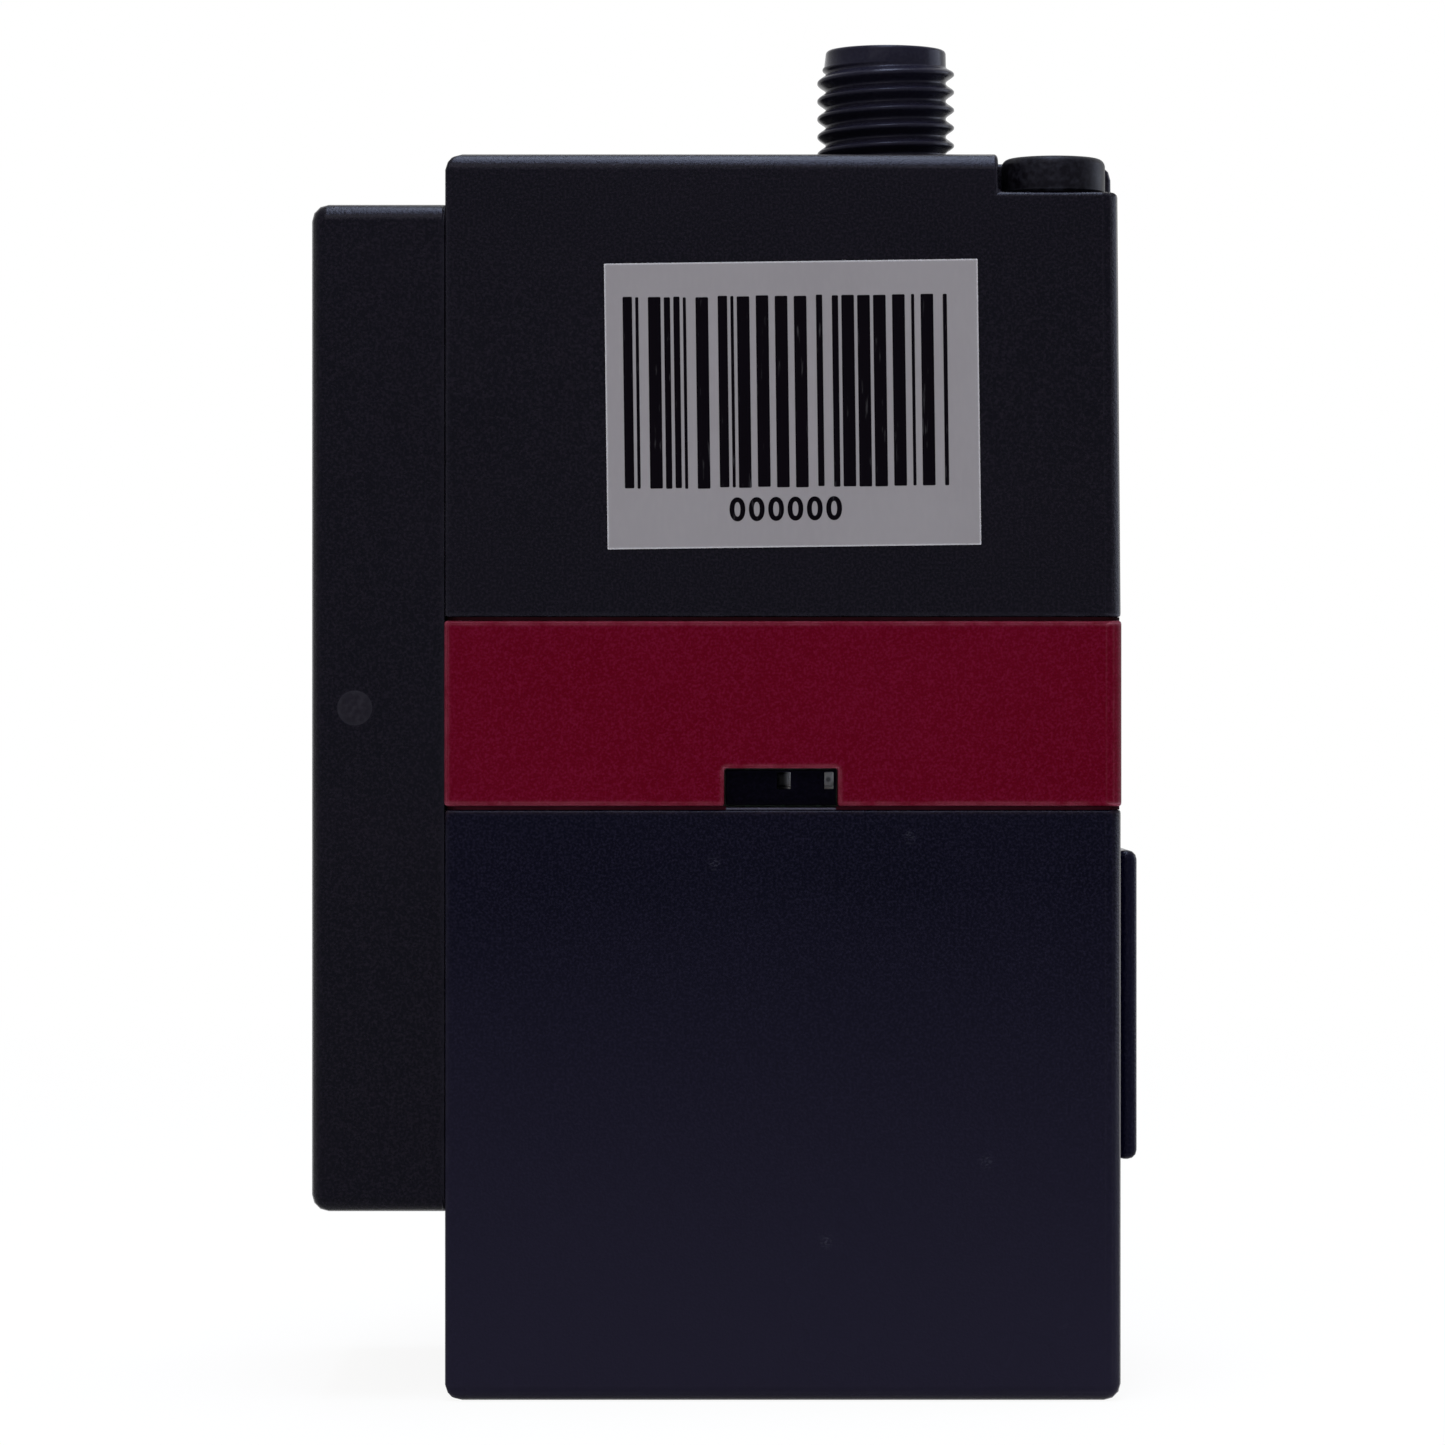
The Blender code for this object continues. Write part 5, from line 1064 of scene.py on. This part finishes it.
DIE_RESIN = pale_package("die_resin", rgb(0.76, 0.76, 0.79), rgb(0.20, 0.20, 0.22),
                         die=(DIE_X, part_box("status_led_2")[0].y + LAMP_PIT / 2, DIE_Z))
SIDE_LIT = pale_package("side_lit_resin", rgb(0.88, 0.88, 0.92), rgb(0.004, 0.004, 0.006),
                        lit_from=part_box("status_led_1")[1].x - LIT_STRIP)
FLEX = pale_package("amber_flex", rgb(0.25, 0.12, 0.03), rgb(0.18, 0.08, 0.02))

SLOT_LOOKS = {
    "housing_plastic": UPPER, "band_plastic": BAND, "window_glass": GLASS, "clear_plastic": LENS,
    "rubber": SEAL, "black_screw": BLACK, "connector_black": MOULDED_BLACK, "steel": STEEL,
    "brass": BRASS, "gold": GOLD, "cast_metal": CAST, "mirror": MIRROR, "circuit_board": BOARD,
    "component": MOULDED_BLACK, "led": LAMP, "flex": FLEX, "label_paper": PAPER,
}
NODE_LOOKS = {"optical_filter": FILTER, "upper_gasket": SHADED_LIP}


def dress_nodes():
    """Give every carried-over node its finish and smooth round faces."""
    for entry in frame["record"]["subparts"]:
        node = entry["node"]
        item = frame["nodes"][node]
        material = NODE_LOOKS.get(node, SLOT_LOOKS[entry["material_slot"]])
        item.data.materials.clear()
        item.data.materials.append(material)
        smooth_node(node)


dress_nodes()
softened("upper_shell", "upper_housing", UPPER, "housing_plastic", upper_edge)
softened("lower_shell", "lower_housing", LOWER, "housing_plastic", lower_edge)
softened("band_shell", "accent_band", BAND, "band_plastic", band_edge)
softened("hood_shell", "optics_hood", HOOD, "housing_plastic", hood_edge)
softened("pad_plate", "rear_pad", PAD, "housing_plastic", even_edge(EDGE_WIDTH))
build_connector(SHELL)
for place in ("front", "rear"):
    build_screw(f"housing_screw_{place}", (0.0, 0.0, 1.0), HOUSING_HEAD, HOUSING_SHANK, BLACK)
for number in range(1, 5):
    build_screw(f"hood_screw_{number}", (-1.0, 0.0, 0.0), HOOD_HEAD, HOOD_SHANK, BLACK)
for number in (1, 2):
    build_insert(f"mount_insert_{number}", BRASS)
build_lamp("status_led_1", SIDE_LIT, SIDE_LIT)
build_lamp("status_led_2", LAMP, DIE_RESIN)
softened("bezel_plate", "status_bezel", BEZEL, "component", even_edge(BEZEL_EDGE))
build_bead("hood_bead", HOOD_BOX, 0, HOOD_BOX[1].x - BEAD_UNDER, BAND_BOX[0].x - FILM_GAP,
           HOOD_BEAD_INSET, HOOD)
build_bead("lower_bead", LOWER_BOX, 2, LOWER_BOX[1].z + FILM_GAP, BAND_BOX[0].z - FILM_GAP,
           SEAM_BEAD_INSET, LIP, (BEZEL_BOX[0].x, BEZEL_BOX[1].x))
build_bead("upper_bead", LOWER_BOX, 2, BAND_BOX[1].z + FILM_GAP, UPPER_BOX[0].z - FILM_GAP,
           SEAM_BEAD_INSET, SHADED_LIP)
build_sill(SILL_HIGHLIGHT)
build_plug(PLUG)
build_label(PAPER, INK)


# Floor, light and camera

def seen_straight(tree):
    """1 for what the eye sees, directly, mirrored or through glass, and 0 for what lights the scene."""
    path = tree.nodes.new("ShaderNodeLightPath")
    seen = path.outputs["Is Camera Ray"]
    for kind in ("Is Transmission Ray", "Is Glossy Ray"):
        either = tree.nodes.new("ShaderNodeMath")
        either.operation = "MAXIMUM"
        tree.links.new(seen, either.inputs[0])
        tree.links.new(path.outputs[kind], either.inputs[1])
        seen = either.outputs["Value"]
    return seen


def background_look(colour):
    """White to the eye, and a plain diffuse surface to light. Near the object it keeps its shadow."""
    material = bpy.data.materials.new("studio_white")
    material.use_nodes = True
    tree = material.node_tree
    shader = tree.nodes["Principled BSDF"]
    shader.inputs["Base Color"].default_value = colour
    shader.inputs["Roughness"].default_value = FLOOR_ROUGHNESS
    shader.inputs["Specular IOR Level"].default_value = 0.0
    glow = tree.nodes.new("ShaderNodeEmission")
    away = tree.nodes.new("ShaderNodeVectorMath")
    away.operation = "LENGTH"
    tree.links.new(tree.nodes.new("ShaderNodeNewGeometry").outputs["Position"], away.inputs[0])
    share = tree.nodes.new("ShaderNodeMapRange")
    share.inputs["From Min"].default_value = SHADOW_NEAR
    share.inputs["From Max"].default_value = SHADOW_FAR
    share.inputs["To Min"].default_value = WHITE_NEAR
    share.inputs["To Max"].default_value = 1.0
    tree.links.new(away.outputs["Value"], share.inputs["Value"])
    factor = tree.nodes.new("ShaderNodeMath")
    factor.operation = "MULTIPLY"
    tree.links.new(share.outputs["Result"], factor.inputs[1])
    tree.links.new(seen_straight(tree), factor.inputs[0])
    mix = tree.nodes.new("ShaderNodeMixShader")
    tree.links.new(factor.outputs["Value"], mix.inputs["Fac"])
    tree.links.new(shader.outputs["BSDF"], mix.inputs[1])
    tree.links.new(glow.outputs["Emission"], mix.inputs[2])
    tree.links.new(mix.outputs["Shader"], tree.nodes["Material Output"].inputs["Surface"])
    return material


def build_stage():
    half, back, top = FLOOR_HALF, BACKDROP_Y, BACKDROP_TOP
    white = background_look(FLOOR_COLOUR)
    for name, corners in (
        ("floor", ((-half, -half, 0.0), (half, -half, 0.0), (half, back, 0.0), (-half, back, 0.0))),
        ("backdrop", ((-half, back, 0.0), (half, back, 0.0), (half, back, top), (-half, back, top))),
    ):
        mesh = bpy.data.meshes.new(name)
        mesh.from_pydata(corners, [], [(0, 1, 2, 3)])
        mesh.materials.append(white)
        item = add_object(name, mesh)


def hang(light, place):
    """Put a light in its place, turned to the object."""
    item = add_object(light.name, light)
    item.location = place
    item.rotation_euler = (Vector(LIGHT_AIM) - Vector(place)).to_track_quat("-Z", "Y").to_euler()


def add_area(name, place, size, power, colour):
    light = bpy.data.lights.new(name, "AREA")
    light.shape = "RECTANGLE"
    light.size = size[0]
    light.size_y = size[1]
    light.energy = power
    light.color = colour
    hang(light, place)


def add_sky():
    """Wide soft light from above, even over the whole floor."""
    light = bpy.data.lights.new("sky", "SUN")
    light.angle = SKY_ANGLE
    light.energy = SKY_STRENGTH
    light.color = SKY_COLOUR
    hang(light, SKY_PLACE)


def build_world():
    world = bpy.data.worlds.new("studio")
    world.use_nodes = True
    tree = world.node_tree
    ground = tree.nodes["Background"]
    ground.inputs["Color"].default_value = rgb(1.0, 1.0, 1.0)
    level = tree.nodes.new("ShaderNodeMapRange")
    level.inputs["To Min"].default_value = WORLD_LIGHT
    level.inputs["To Max"].default_value = 1.0
    tree.links.new(seen_straight(tree), level.inputs["Value"])
    tree.links.new(level.outputs["Result"], ground.inputs["Strength"])
    bpy.context.scene.world = world


def build_camera():
    data = bpy.data.cameras.new("camera")
    data.sensor_width = CAMERA_SENSOR
    data.sensor_fit = "HORIZONTAL"
    data.lens = CAMERA_LENS
    item = add_object("camera", data)
    item.location = CAMERA_PLACE
    item.rotation_euler = (math.pi / 2, 0.0, 0.0)
    bpy.context.scene.camera = item


build_stage()
build_world()
add_sky()
for area_light in AREA_LIGHTS:
    add_area(*area_light)
build_camera()
bpy.context.scene.view_settings.view_transform = "Standard"

bpy.context.view_layer.update()
